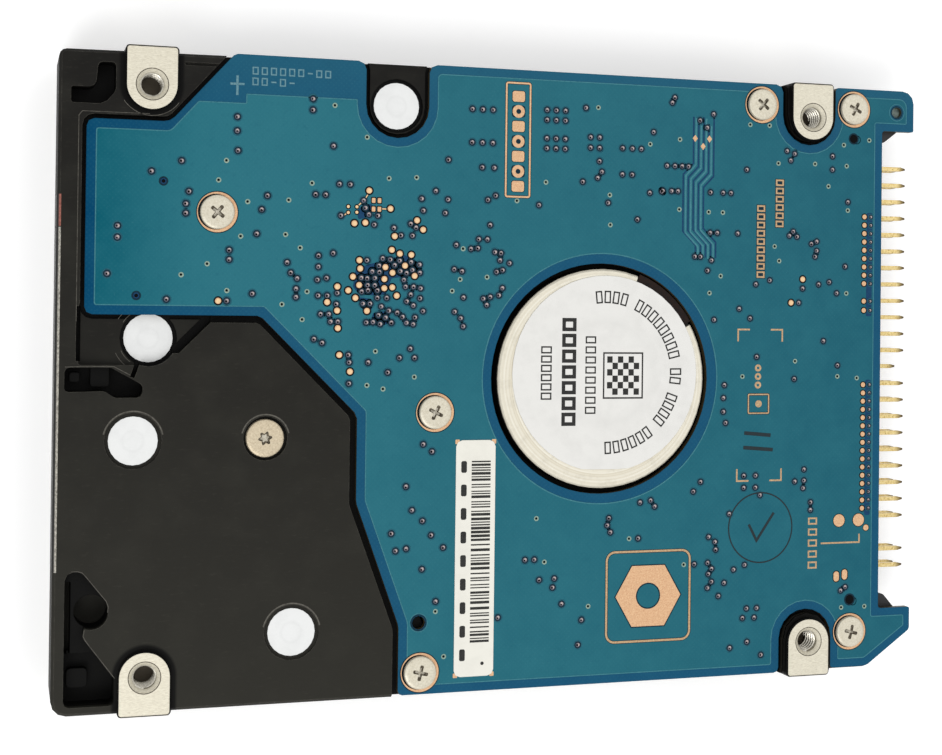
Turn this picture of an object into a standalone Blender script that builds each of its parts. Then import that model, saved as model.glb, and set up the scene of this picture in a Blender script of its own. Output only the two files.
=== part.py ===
"""A 2.5 inch hard disk drive with a parallel (44 + 4 pin) connector, built as separate solids.

Run with: blender --background --python part.py

Drawing coordinates, used by every number below, are millimetres:
  x runs from the closed end to the connector end, y across the width, and z up from the cover's
  outer face to the mounting pads, so the drive lies on its cover with the circuit board on top.
The frame's origin is the middle of the footprint, on the cover's outer face.
"""

from math import atan2, cos, pi, radians, sin, tan

import bmesh
import bpy
from mathutils import Matrix, Vector

MM = 0.001

# ---- overall envelope
LENGTH = 100.0
WIDTH = 69.85
HEIGHT = 9.5
MIDDLE = Vector((LENGTH / 2, WIDTH / 2, 0))
FIT = 0.03  # gap left between two pieces that rest on each other

# ---- levels (z)
COVER_T = 0.5
COVER_STEP = 0.4  # how far the screw flange of the cover lies below its main panel
COVER_INSIDE_Z = COVER_STEP + COVER_T
CASTING_Z0 = 1.25  # rim of the casting, which the gasket presses on
CHAMBER_TOP_Z = 5.6  # ceiling of the disk chamber
HEAD_BAY_TOP_Z = 5.3  # ceiling around the head arm
VCM_TOP_Z = 7.4  # ceiling of the deeper voice coil chamber
BAY_Z = 6.4  # floor of the component bay on the board side
BOARD_Z0 = 7.7
BOARD_T = 0.8
BOARD_Z1 = BOARD_Z0 + BOARD_T
RIM_Z = 8.9  # top of the casting beside the board
MOTOR_FACE_Z = 8.65

# ---- plan positions (x, y)
SPINDLE = (60.1, 35.0)
PIVOT = (21.75, 28.7)
PAD_X = (9.4, 86.0)  # standard pattern: 14.0 and 90.6 from the connector end
PAD_Y = 4.07  # in from each side face
PAD_HALF = 2.75
PAD_CHAMFER = 0.18
SIDE_HOLE_Z = HEIGHT - 3.0
M3_TAP_R = 1.25
COUNTERSINK_R = 1.65
BOARD_SCREWS = ((16.4, 52.7), (40.5, 31.3), (39.1, 2.8), (79.8, 67.1), (91.9, 67.1), (91.9, 4.8))
COVER_SCREWS = ((3.0, 3.0), (3.0, 66.85), (36.0, 2.0), (36.0, 67.9), (91.5, 3.0), (91.5, 66.85))
SEALS = ((35.85, 64.9, 7.85), (9.45, 39.3, 7.48), (7.95, 28.6, 8.55), (24.8, 7.95, 8.55))
SEAL_R = 2.55
MOTOR_HOLE = (59.98, 35.0, 13.08)  # x, y, radius of the hole in the board
BOARD_HOLES = ((38.9, 8.25, 0.75), (97.7, 67.0, 0.65), (92.3, 63.5, 0.4), (92.3, 8.4, 0.4))

LABEL_BOX = (8.0, 9.0, 82.0, 61.0)  # recess for the cover's label
BREATHER = (86.3, 44.0)
LATCH_PIVOT = (28.0, 7.0)
RIM_CHAMFER = 0.3

# ---- connector
PIN_PITCH = 2.0
PIN_SIDE = 0.5
PIN_ROWS_Z = (6.9, 4.9)  # the row by the board first
PIN_FIRST_Y = 60.3  # pins 43 and 44
PIN_COLUMNS = 25
GAP_COLUMN = 22  # no pins between the drive's own pins and the jumper block
KEY = (12, 0)  # column and row of the pin left out to key the plug
PIN_TIP_X = 99.8

# ---- disk and heads
DISK_R = 32.5
DISK_BORE_R = 10.0
DISK_Z = (2.78, 3.42)
CHAMBER_R = 33.3
HEAD_REACH = 33.0  # pivot to head gap
PARK_ANGLE = radians(69.9)  # direction of the arm when the heads are parked
COIL_ANGLE = PARK_ANGLE + pi
COIL_Z = (2.65, 4.05)


# ------------------------------------------------------------------ shapes
def clear_scene():
    for obj in list(bpy.data.objects):
        bpy.data.objects.remove(obj)


def polar(centre, radius, angle):
    return (centre[0] + radius * cos(angle), centre[1] + radius * sin(angle))


def circle(centre, radius, steps=24):
    return [polar(centre, radius, 2 * pi * i / steps) for i in range(steps)]


def fillet(corners, step_deg=None):
    """An outline from (x, y, corner radius) points, each corner rounded by an arc."""
    outline = []
    count = len(corners)
    for i, (x, y, r) in enumerate(corners):
        here = Vector((x, y))
        to_last = (Vector(corners[i - 1][:2]) - here).normalized()
        to_next = (Vector(corners[(i + 1) % count][:2]) - here).normalized()
        if r <= 0:
            outline.append((x, y))
            continue
        half = to_last.angle(to_next) / 2
        centre = here + (to_last + to_next).normalized() * (r / sin(half))
        first = here + to_last * (r / tan(half)) - centre
        turn = to_last.angle(to_next)
        sweep = pi - turn
        sign = -1 if to_last.cross(to_next) > 0 else 1
        step = step_deg or (45 if r < 1 else 30 if r < 3 else 18)
        steps = max(1, round(sweep / radians(step)))
        start = atan2(first.y, first.x)
        for k in range(steps + 1):
            outline.append(polar(centre, r, start + sign * sweep * k / steps))
    return outline


def shift_out(corners, distance):
    """The same corners with every side moved outwards (counter-clockwise outline) by distance."""
    moved = []
    count = len(corners)
    for i, (x, y, r) in enumerate(corners):
        here = Vector((x, y))
        arriving = (here - Vector(corners[i - 1][:2])).normalized()
        leaving = (Vector(corners[(i + 1) % count][:2]) - here).normalized()
        normal_in = Vector((arriving.y, -arriving.x))
        normal_out = Vector((leaving.y, -leaving.x))
        corner = normal_in + normal_out
        point = here + corner * (2 * distance / corner.length_squared)
        convex = arriving.cross(leaving) > 0
        moved.append((point.x, point.y, max(0.0, r + distance if convex else r - distance) if r else 0))
    return moved


def box_corners(x0, y0, x1, y1, r=0.0):
    return [(x0, y0, r), (x1, y0, r), (x1, y1, r), (x0, y1, r)]


def turned_corners(centre, length, width, angle, r=0.0):
    """A rectangle about centre whose length points along angle."""
    along = Vector((cos(angle), sin(angle))) * length / 2
    across = Vector((-sin(angle), cos(angle))) * width / 2
    middle = Vector(centre)
    near, far = middle - along, middle + along
    return [(c.x, c.y, r) for c in (near - across, far - across, far + across, near + across)]


def fan(centre, r0, r1, a0, a1, steps=8):
    """An annular sector about centre."""
    angles = [a0 + (a1 - a0) * i / steps for i in range(steps + 1)]
    return [polar(centre, r1, a) for a in angles] + [polar(centre, r0, a) for a in reversed(angles)]


def link(name, bm, material=None, at=(0, 0, 0)):
    """An object from a bmesh drawn in millimetres; at is where its origin goes in drawing coordinates."""
    bmesh.ops.recalc_face_normals(bm, faces=bm.faces)
    bmesh.ops.translate(bm, verts=bm.verts, vec=-Vector(at))
    bmesh.ops.scale(bm, verts=bm.verts, vec=(MM, MM, MM))
    mesh = bpy.data.meshes.new(name)
    bm.to_mesh(mesh)
    bm.free()
    obj = bpy.data.objects.new(name, mesh)
    obj.location = (Vector(at) - MIDDLE) * MM
    bpy.context.scene.collection.objects.link(obj)
    if material:
        mesh.materials.append(material)
    return obj


def prism_bmesh(outline, z0, z1, holes=()):
    bm = bmesh.new()
    for loop in (outline, *holes):
        verts = [bm.verts.new((x, y, z0)) for x, y in loop]
        for i, vert in enumerate(verts):
            bm.edges.new((vert, verts[(i + 1) % len(verts)]))
    bmesh.ops.triangle_fill(bm, use_beauty=True, edges=bm.edges[:])
    bmesh.ops.dissolve_limit(bm, angle_limit=radians(0.1), verts=bm.verts, edges=bm.edges)
    made = bmesh.ops.extrude_face_region(bm, geom=bm.faces[:])
    top = [v for v in made["geom"] if isinstance(v, bmesh.types.BMVert)]
    bmesh.ops.translate(bm, verts=top, vec=(0, 0, z1 - z0))
    return bm


def loft(bm, rings):
    """A solid through rings of points, all with the same number of points."""
    rings = [[bm.verts.new(point) for point in ring] for ring in rings]
    for ring, after in zip(rings, rings[1:]):
        for i in range(len(ring)):
            j = (i + 1) % len(ring)
            bm.faces.new((ring[i], ring[j], after[j], after[i]))
    bm.faces.new(rings[0])
    bm.faces.new(rings[-1])


def stack_bmesh(levels):
    """A solid through (outline, z) levels."""
    bm = bmesh.new()
    loft(bm, [[(x, y, z) for x, y in outline] for outline, z in levels])
    return bm


def chamfered(name, corners, z0, z1, chamfer, material=None, step_deg=30):
    """A prism whose edge at z1 is chamfered."""
    outline = fillet(corners, step_deg)
    slope = chamfer if z1 > z0 else -chamfer
    levels = [(outline, z0), (outline, z1 - slope), (fillet(shift_out(corners, -chamfer), step_deg), z1)]
    return link(name, stack_bmesh(levels), material)


def prism(name, outline, z0, z1, material=None, holes=()):
    return link(name, prism_bmesh(outline, z0, z1, holes), material)


def lathe_bmesh(centre, profile, steps):
    """A closed profile of (radius, z) points turned about the vertical axis through centre."""
    bm = bmesh.new()
    rings = []
    for r, z in profile:
        if r == 0:
            rings.append([bm.verts.new((*centre, z))] * steps)
        else:
            rings.append([bm.verts.new((*polar(centre, r, 2 * pi * i / steps), z)) for i in range(steps)])
    for ring, after in zip(rings, rings[1:] + rings[:1]):
        for i in range(steps):
            j = (i + 1) % steps
            corners = list(dict.fromkeys((ring[i], ring[j], after[j], after[i])))
            if len(corners) > 2:
                bm.faces.new(corners)
    bmesh.ops.dissolve_limit(bm, angle_limit=radians(0.1), verts=bm.verts, edges=bm.edges)
    return bm


def lathe(name, centre, profile, material=None, steps=32):
    obj = link(name, lathe_bmesh(centre, profile, steps), material, (*centre, 0))
    shade_round(obj)
    return obj


def shade_round(obj):
    obj.data.shade_smooth()
    obj.data.set_sharp_from_angle(angle=radians(35))


def helper(obj):
    """Marks a cutter or a joined shape, which is not a piece of the drive itself."""
    obj.hide_render = True
    obj.display_type = "WIRE"
    return obj


def combine(obj, other, operation):
    modifier = obj.modifiers.new(operation.lower(), "BOOLEAN")
    modifier.operation = operation
    modifier.object = helper(other)


def cut(obj, *cutters):
    for cutter in cutters:
        combine(obj, cutter, "DIFFERENCE")


def join(obj, *others):
    for other in others:
        combine(obj, other, "UNION")


def drill(obj, centre, radius, z0, z1, steps=20):
    cut(obj, prism(obj.name + "_drill", circle(centre, radius, steps), z0, z1))


# ------------------------------------------------------------------ materials
def material(name, colour, roughness, metallic=0.0):
    made = bpy.data.materials.new(name)
    made.use_nodes = True
    shader = made.node_tree.nodes["Principled BSDF"]
    shader.inputs["Base Color"].default_value = (*colour, 1)
    shader.inputs["Roughness"].default_value = roughness
    shader.inputs["Metallic"].default_value = metallic
    return made


def make_materials():
    return {
        "coat": material("black_coat", (0.022, 0.021, 0.018), 0.45),
        "board": material("solder_mask", (0.012, 0.135, 0.20), 0.38),
        "steel": material("bright_steel", (0.62, 0.60, 0.56), 0.28, 1.0),
        "alloy": material("machined_alloy", (0.80, 0.79, 0.75), 0.35, 1.0),
        "gold": material("gold_plate", (0.85, 0.62, 0.24), 0.25, 1.0),
        "plastic": material("black_plastic", (0.02, 0.02, 0.02), 0.5),
        "ramp": material("ivory_plastic", (0.75, 0.72, 0.62), 0.45),
        "paper": material("label_paper", (0.82, 0.83, 0.83), 0.6),
        "film": material("amber_film", (0.35, 0.16, 0.04), 0.35),
        "copper": material("enamelled_copper", (0.60, 0.24, 0.10), 0.35, 1.0),
        "magnet": material("nickel_magnet", (0.55, 0.55, 0.56), 0.3, 1.0),
        "disk": material("disk_mirror", (0.72, 0.73, 0.75), 0.05, 1.0),
        "rubber": material("gasket_rubber", (0.015, 0.015, 0.015), 0.8),
        "filter": material("filter_felt", (0.80, 0.80, 0.77), 0.9),
    }


# ------------------------------------------------------------------ outlines
BOARD_CORNERS = [  # counter-clockwise from the closed end, notches as full-round corner pairs
    (2.85, 41.75, 0.8),
    (21.1, 41.75, 0.8),
    (31.75, 31.1, 1.0),
    (31.75, 21.6, 1.5),
    (36.65, 8.0, 1.5),
    (36.65, 0.4, 0.5),
    (82.6, 0.4, 0.6),
    (82.6, 7.75, 3.39),
    (89.4, 7.75, 3.39),
    (89.4, 0.6, 0.3),
    (94.2, 0.6, 1.0),
    (100.0, 4.7, 0.4),
    (100.0, 7.4, 0.2),
    (95.75, 7.4, 0.3),
    (95.75, 64.7, 0.3),
    (100.0, 64.7, 0.2),
    (100.0, 69.6, 1.5),
    (89.45, 69.6, 0.4),
    (89.45, 62.6, 3.44),
    (82.55, 62.6, 3.44),
    (82.55, 69.6, 0.9),
    (39.45, 69.6, 0.9),
    (39.45, 61.35, 3.54),
    (32.35, 61.35, 3.54),
    (32.35, 69.6, 0.9),
    (18.1, 69.6, 0.6),
    (11.4, 62.1, 1.5),
    (2.85, 62.1, 0.8),
]
BODY_CORNERS = [  # a little narrower at the closed end
    (0.0, 0.35, 1.6),
    (95.2, 0.35, 1.0),
    (95.2, 69.5, 1.0),
    (30.0, 69.4, 0.0),
    (0.0, 69.15, 0.8),
]
GASKET_LINE = [  # middle of the gasket, inside the screws and outside the chamber
    (1.7, 9.0, 1.5),
    (6.6, 4.0, 1.5),
    (42.5, 4.0, 2.0),
    (51.0, 1.05, 3.0),
    (78.0, 1.05, 3.0),
    (94.3, 18.0, 3.0),
    (94.3, 52.0, 3.0),
    (78.0, 68.9, 3.0),
    (51.0, 68.9, 3.0),
    (42.5, 65.8, 2.0),
    (5.9, 65.8, 1.5),
    (1.7, 61.6, 1.5),
]
LEDGE_CORNERS = [
    (2.3, 36.5, 0.2),
    (8.6, 36.5, 0.0),
    (12.2, 38.0, 0.0),
    (15.6, 41.4, 0.0),
    (19.0, 43.0, 0.3),
    (2.3, 43.0, 0.3),
]
PLATEAU_GAP = [  # shadow gap between the plateau over the voice coil motor and the board
    (15.4, 41.0, 0.6),
    (20.85, 41.0, 0.6),
    (30.9, 30.85, 0.8),
    (30.9, 21.45, 1.0),
    (35.9, 7.75, 1.0),
    (35.9, -1.0, 0.0),
    (37.5, -1.0, 0.0),
    (37.5, 8.5, 0.5),
    (33.0, 22.0, 0.5),
    (33.0, 32.0, 0.5),
    (22.0, 43.0, 0.5),
    (15.4, 43.0, 0.0),
]
LEDGE_GROOVE = [  # undercut at the foot of the plateau, from the seal on the ledge to the board
    (11.9, 37.75, 0.0),
    (12.55, 37.75, 0.0),
    (15.9, 41.1, 0.2),
    (15.9, 41.8, 0.0),
    (15.25, 41.8, 0.0),
    (11.9, 38.4, 0.0),
]
LEDGE_DRAIN = [  # joins the recess of that seal to the side pocket
    (7.55, 35.3, 0.0),
    (8.0, 35.15, 0.0),
    (8.65, 36.95, 0.0),
    (8.2, 37.15, 0.0),
]
CORNER_POCKET = [  # lower left pocket, with its hooked inner edge
    (1.25, 1.25, 0.6),
    (6.35, 1.25, 0.5),
    (6.35, 4.0, 0.2),
    (3.1, 8.4, 0.4),
    (3.3, 9.6, 0.5),
    (5.4, 10.1, 0.7),
    (5.6, 11.8, 0.6),
    (2.9, 15.2, 0.7),
    (1.25, 15.2, 0.9),
]
CORNER_FOOT = [  # deep end of the corner pocket, below its slanted inner edge
    (1.3, 1.3, 0.5),
    (6.3, 1.3, 0.5),
    (6.3, 4.05, 0.2),
    (4.45, 6.6, 0.3),
    (1.3, 6.6, 0.3),
]
SIDE_POCKET = [
    (0.95, 33.7, 0.4),
    (5.0, 33.8, 0.6),
    (6.0, 33.1, 0.5),
    (8.8, 33.1, 0.6),
    (8.9, 34.4, 0.4),
    (5.6, 36.25, 0.4),
    (0.95, 36.25, 0.5),
]
TOP_POCKET = [
    (1.25, 63.6, 0.2),
    (4.6, 63.6, 0.9),
    (5.75, 65.0, 0.8),
    (5.75, 67.95, 0.4),
    (3.95, 67.95, 0.5),
    (3.7, 65.3, 0.7),
    (1.25, 65.3, 0.2),
]
BAY_CORNERS = [  # component bay under the board
    (4.6, 43.6, 1.0),
    (22.0, 43.6, 1.0),
    (33.8, 31.9, 1.0),
    (33.8, 22.2, 1.0),
    (38.4, 10.8, 1.0),
    (42.0, 2.0, 1.0),
    (81.0, 2.0, 1.0),
    (81.0, 10.2, 2.0),
    (94.5, 10.2, 1.0),
    (94.5, 60.8, 1.0),
    (81.0, 60.8, 2.0),
    (76.5, 67.8, 1.0),
    (41.6, 67.8, 1.0),
    (41.6, 59.4, 2.0),
    (30.4, 59.4, 2.0),
    (30.4, 67.8, 1.0),
    (19.8, 67.8, 1.0),
    (13.2, 60.6, 1.0),
    (4.6, 60.6, 1.0),
]
HEAD_BAY_CORNERS = [  # actuator side of the disk chamber
    (3.2, 42.6, 1.0),
    (12.0, 36.5, 1.0),
    (12.0, 31.0, 1.0),
    (3.2, 31.0, 1.0),
    (3.2, 19.0, 1.0),
    (8.0, 13.2, 1.0),
    (14.6, 9.4, 1.0),
    (14.6, 5.2, 1.0),
    (44.5, 5.2, 1.0),
    (50.0, 34.0, 0.0),
    (44.5, 64.6, 1.0),
    (17.4, 64.6, 1.0),
    (13.4, 60.6, 1.0),
    (3.2, 60.6, 1.0),
]
VCM_CORNERS = [  # deeper part, under the plateau
    (3.4, 19.2, 1.0),
    (8.1, 13.5, 1.0),
    (14.8, 9.6, 1.0),
    (14.8, 5.3, 1.0),
    (33.6, 5.3, 1.0),
    (33.6, 8.0, 1.0),
    (28.8, 22.0, 1.0),
    (28.8, 30.8, 0.6),
    (26.2, 34.8, 0.6),
    (17.6, 34.8, 0.6),
    (14.6, 30.8, 0.6),
    (3.4, 30.8, 1.0),
]
HEAD_SLOT = (8.8, 47.6, 17.2, 50.6)  # opening in the floor for the head connector


LOW_GUIDE = [  # end walls of the connector, which guide the plug
    (94.45, 4.3, 0.0),
    (98.6, 4.3, 0.3),
    (98.6, 7.0, 0.3),
    (96.9, 8.9, 0.4),
    (95.6, 9.3, 0.0),
    (94.45, 9.3, 0.0),
]
HIGH_GUIDE = [
    (94.45, 63.1, 0.0),
    (95.6, 63.1, 0.0),
    (96.6, 63.5, 0.4),
    (98.2, 64.7, 0.4),
    (98.6, 65.9, 0.2),
    (94.45, 65.9, 0.0),
]
BARCODE_CORNERS = box_corners(42.95, 2.05, 47.5, 28.2, 0.7)
MOUNT_HOLE = [  # blind tapped hole with a countersink
    (0, 5.9),
    (M3_TAP_R, 5.9),
    (M3_TAP_R, HEIGHT - 0.4),
    (COUNTERSINK_R, HEIGHT),
    (COUNTERSINK_R, HEIGHT + 1),
    (0, HEIGHT + 1),
]


def pad_corners(x, side):
    """A mounting pad: square to the side face, round towards the middle; side is -1 for y = 0."""
    edge = 0.0 if side < 0 else WIDTH
    inner = PAD_Y + PAD_HALF if side < 0 else WIDTH - PAD_Y - PAD_HALF
    corners = [
        (x - PAD_HALF, edge, 0.45),
        (x + PAD_HALF, edge, 0.45),
        (x + PAD_HALF, inner, PAD_HALF - 0.01),
        (x - PAD_HALF, inner, PAD_HALF - 0.01),
    ]
    return corners if side < 0 else corners[::-1]


def pad_centres():
    return [(x, y) for x in PAD_X for y in (PAD_Y, WIDTH - PAD_Y)]


# ------------------------------------------------------------------ casting and cover
def make_casting(mats):
    casting = chamfered("base_casting", BODY_CORNERS, CASTING_Z0, RIM_Z, RIM_CHAMFER, mats["coat"])
    cut_board_side(casting)
    for x in PAD_X:
        for side in (-1, 1):
            join(casting, chamfered("pad", pad_corners(x, side), 3.2, HEIGHT, PAD_CHAMFER, step_deg=9))
    cut_chamber(casting)
    cut(casting, prism("connector_bay", fillet(box_corners(93.95, 3.8, 101.0, 66.3)), 3.3, HEIGHT + 1))
    for centre in pad_centres():
        cut(casting, lathe("mount_hole", centre, MOUNT_HOLE, steps=24))
    for x in PAD_X:
        for y0, y1 in ((-1.0, 2.4), (WIDTH - 2.4, WIDTH + 1.0)):
            cut(casting, side_drill(x, y0, y1))
    join(casting, prism("latch_post", circle(LATCH_PIVOT, 0.6, 12), 2.0, VCM_TOP_Z + 0.2))
    for centre in COVER_SCREWS:
        join(casting, prism("cover_boss", circle(centre, 1.5, 16), COVER_INSIDE_Z + FIT, CASTING_Z0 + 0.5))
        drill(casting, centre, 0.85, 0.0, 3.2, steps=12)


def side_drill(x, y0, y1):
    """A blind tapped hole in a side face."""
    bm = prism_bmesh(circle((0, 0), M3_TAP_R, 16), 0, y1 - y0)
    bmesh.ops.rotate(bm, verts=bm.verts, matrix=Matrix.Rotation(-pi / 2, 3, "X"))
    bmesh.ops.translate(bm, verts=bm.verts, vec=(x, y0, SIDE_HOLE_Z))
    return link("side_hole", bm)


def cut_board_side(casting):
    seat = shift_out(BOARD_CORNERS, 0.45)
    cut(casting, prism("board_seat", fillet(seat), BOARD_Z0 - FIT, HEIGHT + 1))
    cut(casting, prism("bay", fillet(BAY_CORNERS), BAY_Z, HEIGHT))
    for centre in BOARD_SCREWS:
        join(casting, prism("screw_boss", circle(centre, 2.0, 16), BAY_Z - 0.5, BOARD_Z0 - 2 * FIT))
        drill(casting, centre, 0.7, 5.9, HEIGHT, steps=12)
    cut(casting, prism("plateau_gap", fillet(PLATEAU_GAP), BOARD_Z0 - 0.08, HEIGHT + 0.7))
    cut(casting, prism("ledge", fillet(LEDGE_CORNERS), 8.15, HEIGHT))
    cut(casting, prism("seal_shelf", fillet(box_corners(32.0, 60.0, 39.8, 71.0)), 8.25, HEIGHT))
    cut(casting, prism("ledge_groove", fillet(LEDGE_GROOVE), 7.35, HEIGHT))
    cut(casting, prism("ledge_drain", fillet(LEDGE_DRAIN), 7.3, HEIGHT))
    cut(casting, prism("groove", fillet(box_corners(2.05, 36.9, 2.5, 42.6)), 7.4, HEIGHT))
    cut(casting, prism("corner_pocket", fillet(CORNER_POCKET), 7.6, HEIGHT))
    cut(casting, prism("corner_hole", circle((3.95, 10.9), 1.72, 24), 5.0, HEIGHT - 0.3))
    cut(casting, prism("corner_slot", fillet(box_corners(1.3, 6.6, 1.9, 14.0, 0.1)), 5.0, HEIGHT - 0.3))
    cut(casting, prism("corner_foot", fillet(CORNER_FOOT), 6.0, HEIGHT - 0.3))
    join(casting, prism("corner_stud", fillet(box_corners(1.6, 2.9, 3.7, 4.9, 0.4)), 5.8, 7.0))
    cut(casting, prism("side_pocket", fillet(SIDE_POCKET), 6.4, HEIGHT))
    join(casting, prism("side_stud", fillet(box_corners(3.6, 34.2, 5.5, 36.5, 0.3)), 6.2, 7.8))
    join(casting, prism("side_peg", fillet(box_corners(1.5, 34.7, 2.5, 35.7, 0.2)), 6.2, 7.6))
    cut(casting, prism("top_pocket", fillet(TOP_POCKET), 6.2, HEIGHT))
    rim_groove = fillet(box_corners(12.8, 68.05, 16.6, 68.35, 0.1))
    cut(casting, prism("rim_groove", rim_groove, RIM_Z - 0.35, HEIGHT))
    for x, y, z in SEALS:
        drill(casting, (x, y), SEAL_R + 0.4, z, HEIGHT, 24)
        drill(casting, (x, y), 1.1, HEAD_BAY_TOP_Z - 0.5, HEIGHT, 10)
    drill(casting, PIVOT, 2.35, RIM_Z - 0.75, HEIGHT, 24)
    drill(casting, PIVOT, 1.05, VCM_TOP_Z - 1, HEIGHT, 16)


def cut_chamber(casting):
    cut(casting, prism("disk_chamber", circle(SPINDLE, CHAMBER_R, 56), 0.0, CHAMBER_TOP_Z))
    cut(casting, prism("head_bay", fillet(HEAD_BAY_CORNERS), 0.0, HEAD_BAY_TOP_Z))
    cut(casting, prism("vcm_bay", fillet(VCM_CORNERS), 0.5, VCM_TOP_Z))
    drill(casting, SPINDLE, 12.55, CHAMBER_TOP_Z - 1, HEIGHT, 40)
    cut(casting, prism("head_slot", fillet(box_corners(*HEAD_SLOT)), HEAD_BAY_TOP_Z - 0.6, HEIGHT))


def make_cover(mats):
    outline = fillet(shift_out(BODY_CORNERS, -0.1))
    cover = prism("top_cover", outline, COVER_STEP, COVER_INSIDE_Z, mats["steel"])
    panel = shift_out(BODY_CORNERS, -5.0)
    panel = [(x, y, 4.0) for x, y, _ in panel]
    join(cover, chamfered("panel", panel, COVER_STEP + 0.1, 0.0, COVER_STEP))
    inside = [(x, y, 3.6) for x, y, _ in shift_out(BODY_CORNERS, -5.4)]
    cut(cover, prism("panel_inside", fillet(inside), COVER_T, 2.0))
    cut(cover, prism("label_recess", fillet(box_corners(*LABEL_BOX, 1.5)), -1.0, 0.12))
    for centre in COVER_SCREWS:
        drill(cover, centre, 0.95, -1, 2, steps=16)
    drill(cover, BREATHER, 0.6, -1, 2, steps=12)
    return cover


def make_gasket(mats):
    outer = fillet(shift_out(GASKET_LINE, 0.35), 45)
    inner = fillet(shift_out(GASKET_LINE, -0.35), 45)
    prism("cover_gasket", outer, COVER_INSIDE_Z + FIT, CASTING_Z0 - FIT, mats["rubber"], [inner])


def make_labels(mats):
    prism("cover_label", fillet(shift_out(box_corners(*LABEL_BOX, 1.5), -0.2)), 0.02, 0.10, mats["paper"])
    prism("barcode_label", fillet(BARCODE_CORNERS), BOARD_Z1 + 0.02, BOARD_Z1 + 0.10, mats["paper"])
    for i, (x, y, z) in enumerate(SEALS):
        prism(f"seal_{i + 1}", circle((x, y), SEAL_R, 24), z + 0.02, z + 0.14, mats["paper"])
    middle = (SPINDLE[0] + 0.35, SPINDLE[1] + 0.55)
    disc = [(x, max(y, SPINDLE[1] - 10.3)) for x, y in circle(middle, 11.15, 48)]
    z = MOTOR_FACE_Z + 0.02
    prism("motor_label", disc, z, z + 0.10, mats["paper"])


# ------------------------------------------------------------------ board
def make_board(mats):
    holes = [circle(MOTOR_HOLE[:2], MOTOR_HOLE[2], 64)]
    holes += [circle(c, 1.0, 16) for c in BOARD_SCREWS]
    holes += [circle((x, y), r, 12) for x, y, r in BOARD_HOLES]
    prism("circuit_board", fillet(BOARD_CORNERS), BOARD_Z0, BOARD_Z1, mats["board"], holes)
    film = shift_out(BAY_CORNERS, -0.5)
    sheet = prism("board_insulator", fillet(film), BAY_Z + FIT, BAY_Z + 0.15, mats["film"])
    drill(sheet, SPINDLE, 13.4, 0, HEIGHT, 32)
    for centre in BOARD_SCREWS[:4]:
        drill(sheet, centre, 2.2, 0, HEIGHT, 12)
    x0, y0, x1, y1 = HEAD_SLOT
    relief = fillet(box_corners(x0 - 0.4, y0 - 0.4, x1 + 0.4, y1 + 0.4))
    cut(sheet, prism("slot_relief", relief, 0, HEIGHT))
    chips = {
        "controller_chip": (29.0, 38.4, 41.0, 50.4, 1.0),
        "motor_driver_chip": (50.5, 8.0, 59.5, 17.0, 0.9),
        "buffer_memory_chip": (52.0, 53.0, 71.0, 62.5, 1.0),
        "clock_crystal": (42.5, 53.5, 45.0, 56.7, 0.7),
    }
    top = BOARD_Z0 - 0.02
    for name, (cx0, cy0, cx1, cy1, tall) in chips.items():
        prism(name, fillet(box_corners(cx0, cy0, cx1, cy1, 0.2), 45), top - tall, top, mats["plastic"])
    prism("head_connector_socket", fillet(box_corners(x0, y0, x1, y1)), 6.95, top, mats["plastic"])


def cross_recess(centre, z0, z1, reach=0.95, arm=0.22):
    """A cross with square arms, as a screwdriver recess."""
    corners = []
    for i in range(4):
        turn = Matrix.Rotation(i * pi / 2 + 0.6, 2)
        for point in ((arm, arm), (arm, reach), (-arm, reach)):
            moved = turn @ Vector(point)
            corners.append((centre[0] + moved.x, centre[1] + moved.y))
    return prism("cross_recess", corners, z0, z1)


def star_recess(centre, z0, z1, radius=0.82):
    outline = [polar(centre, radius * (1 - 0.26 * (i % 2)), i * pi / 6) for i in range(12)]
    return prism("star_recess", outline, z0, z1)


def screw_profile(head_r, head_z0, head_z1, shank_r, shank_z):
    """Head between head_z0 and head_z1 (its outer face), shank running to shank_z."""
    away = 1 if head_z1 > head_z0 else -1
    rim = head_z1 - away * 0.12
    head = [(0, head_z1), (head_r - 0.2, head_z1), (head_r, rim), (head_r, head_z0)]
    return head + [(shank_r, head_z0), (shank_r, shank_z), (0, shank_z)]


def make_screws(mats):
    for i, (x, y) in enumerate(BOARD_SCREWS):
        z = BOARD_Z1 + FIT
        profile = screw_profile(1.78, z, z + 0.42, 0.65, 6.0)
        screw = lathe(f"board_screw_{i + 1}", (x, y), profile, mats["steel"], 18)
        cut(screw, cross_recess((x, y), z + 0.08, z + 1))
    for i, (x, y) in enumerate(COVER_SCREWS):
        profile = screw_profile(1.6, COVER_STEP - 0.02, 0.04, 0.8, 3.1)
        screw = lathe(f"cover_screw_{i + 1}", (x, y), profile, mats["steel"], 14)
        cut(screw, star_recess((x, y), -1.0, 0.27, 0.8))
    z = RIM_Z - 0.75 + FIT
    screw = lathe("pivot_screw", PIVOT, screw_profile(2.05, z, z + 0.6, 1.0, 6.75), mats["steel"], 28)
    cut(screw, star_recess(PIVOT, z + 0.12, z + 1, 0.85))


# ------------------------------------------------------------------ connector
def pin_places():
    """(y, z) of every pin; one column is a gap and one pin is left out as the key."""
    places = []
    for column in range(PIN_COLUMNS):
        for row, z in enumerate(PIN_ROWS_Z):
            if column != GAP_COLUMN and (column, row) != KEY:
                places.append((PIN_FIRST_Y - column * PIN_PITCH, z))
    return places


def stand_up(bm):
    """Turns a shape drawn in (y, z) and extruded along the third axis so that this axis is x."""
    turn = Matrix(((0, 0, 1), (1, 0, 0), (0, 1, 0)))
    bmesh.ops.transform(bm, matrix=turn.to_4x4(), verts=bm.verts)
    return bm


def square(y, z, half):
    return [(y - half, z - half), (y + half, z - half), (y + half, z + half), (y - half, z + half)]


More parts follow.
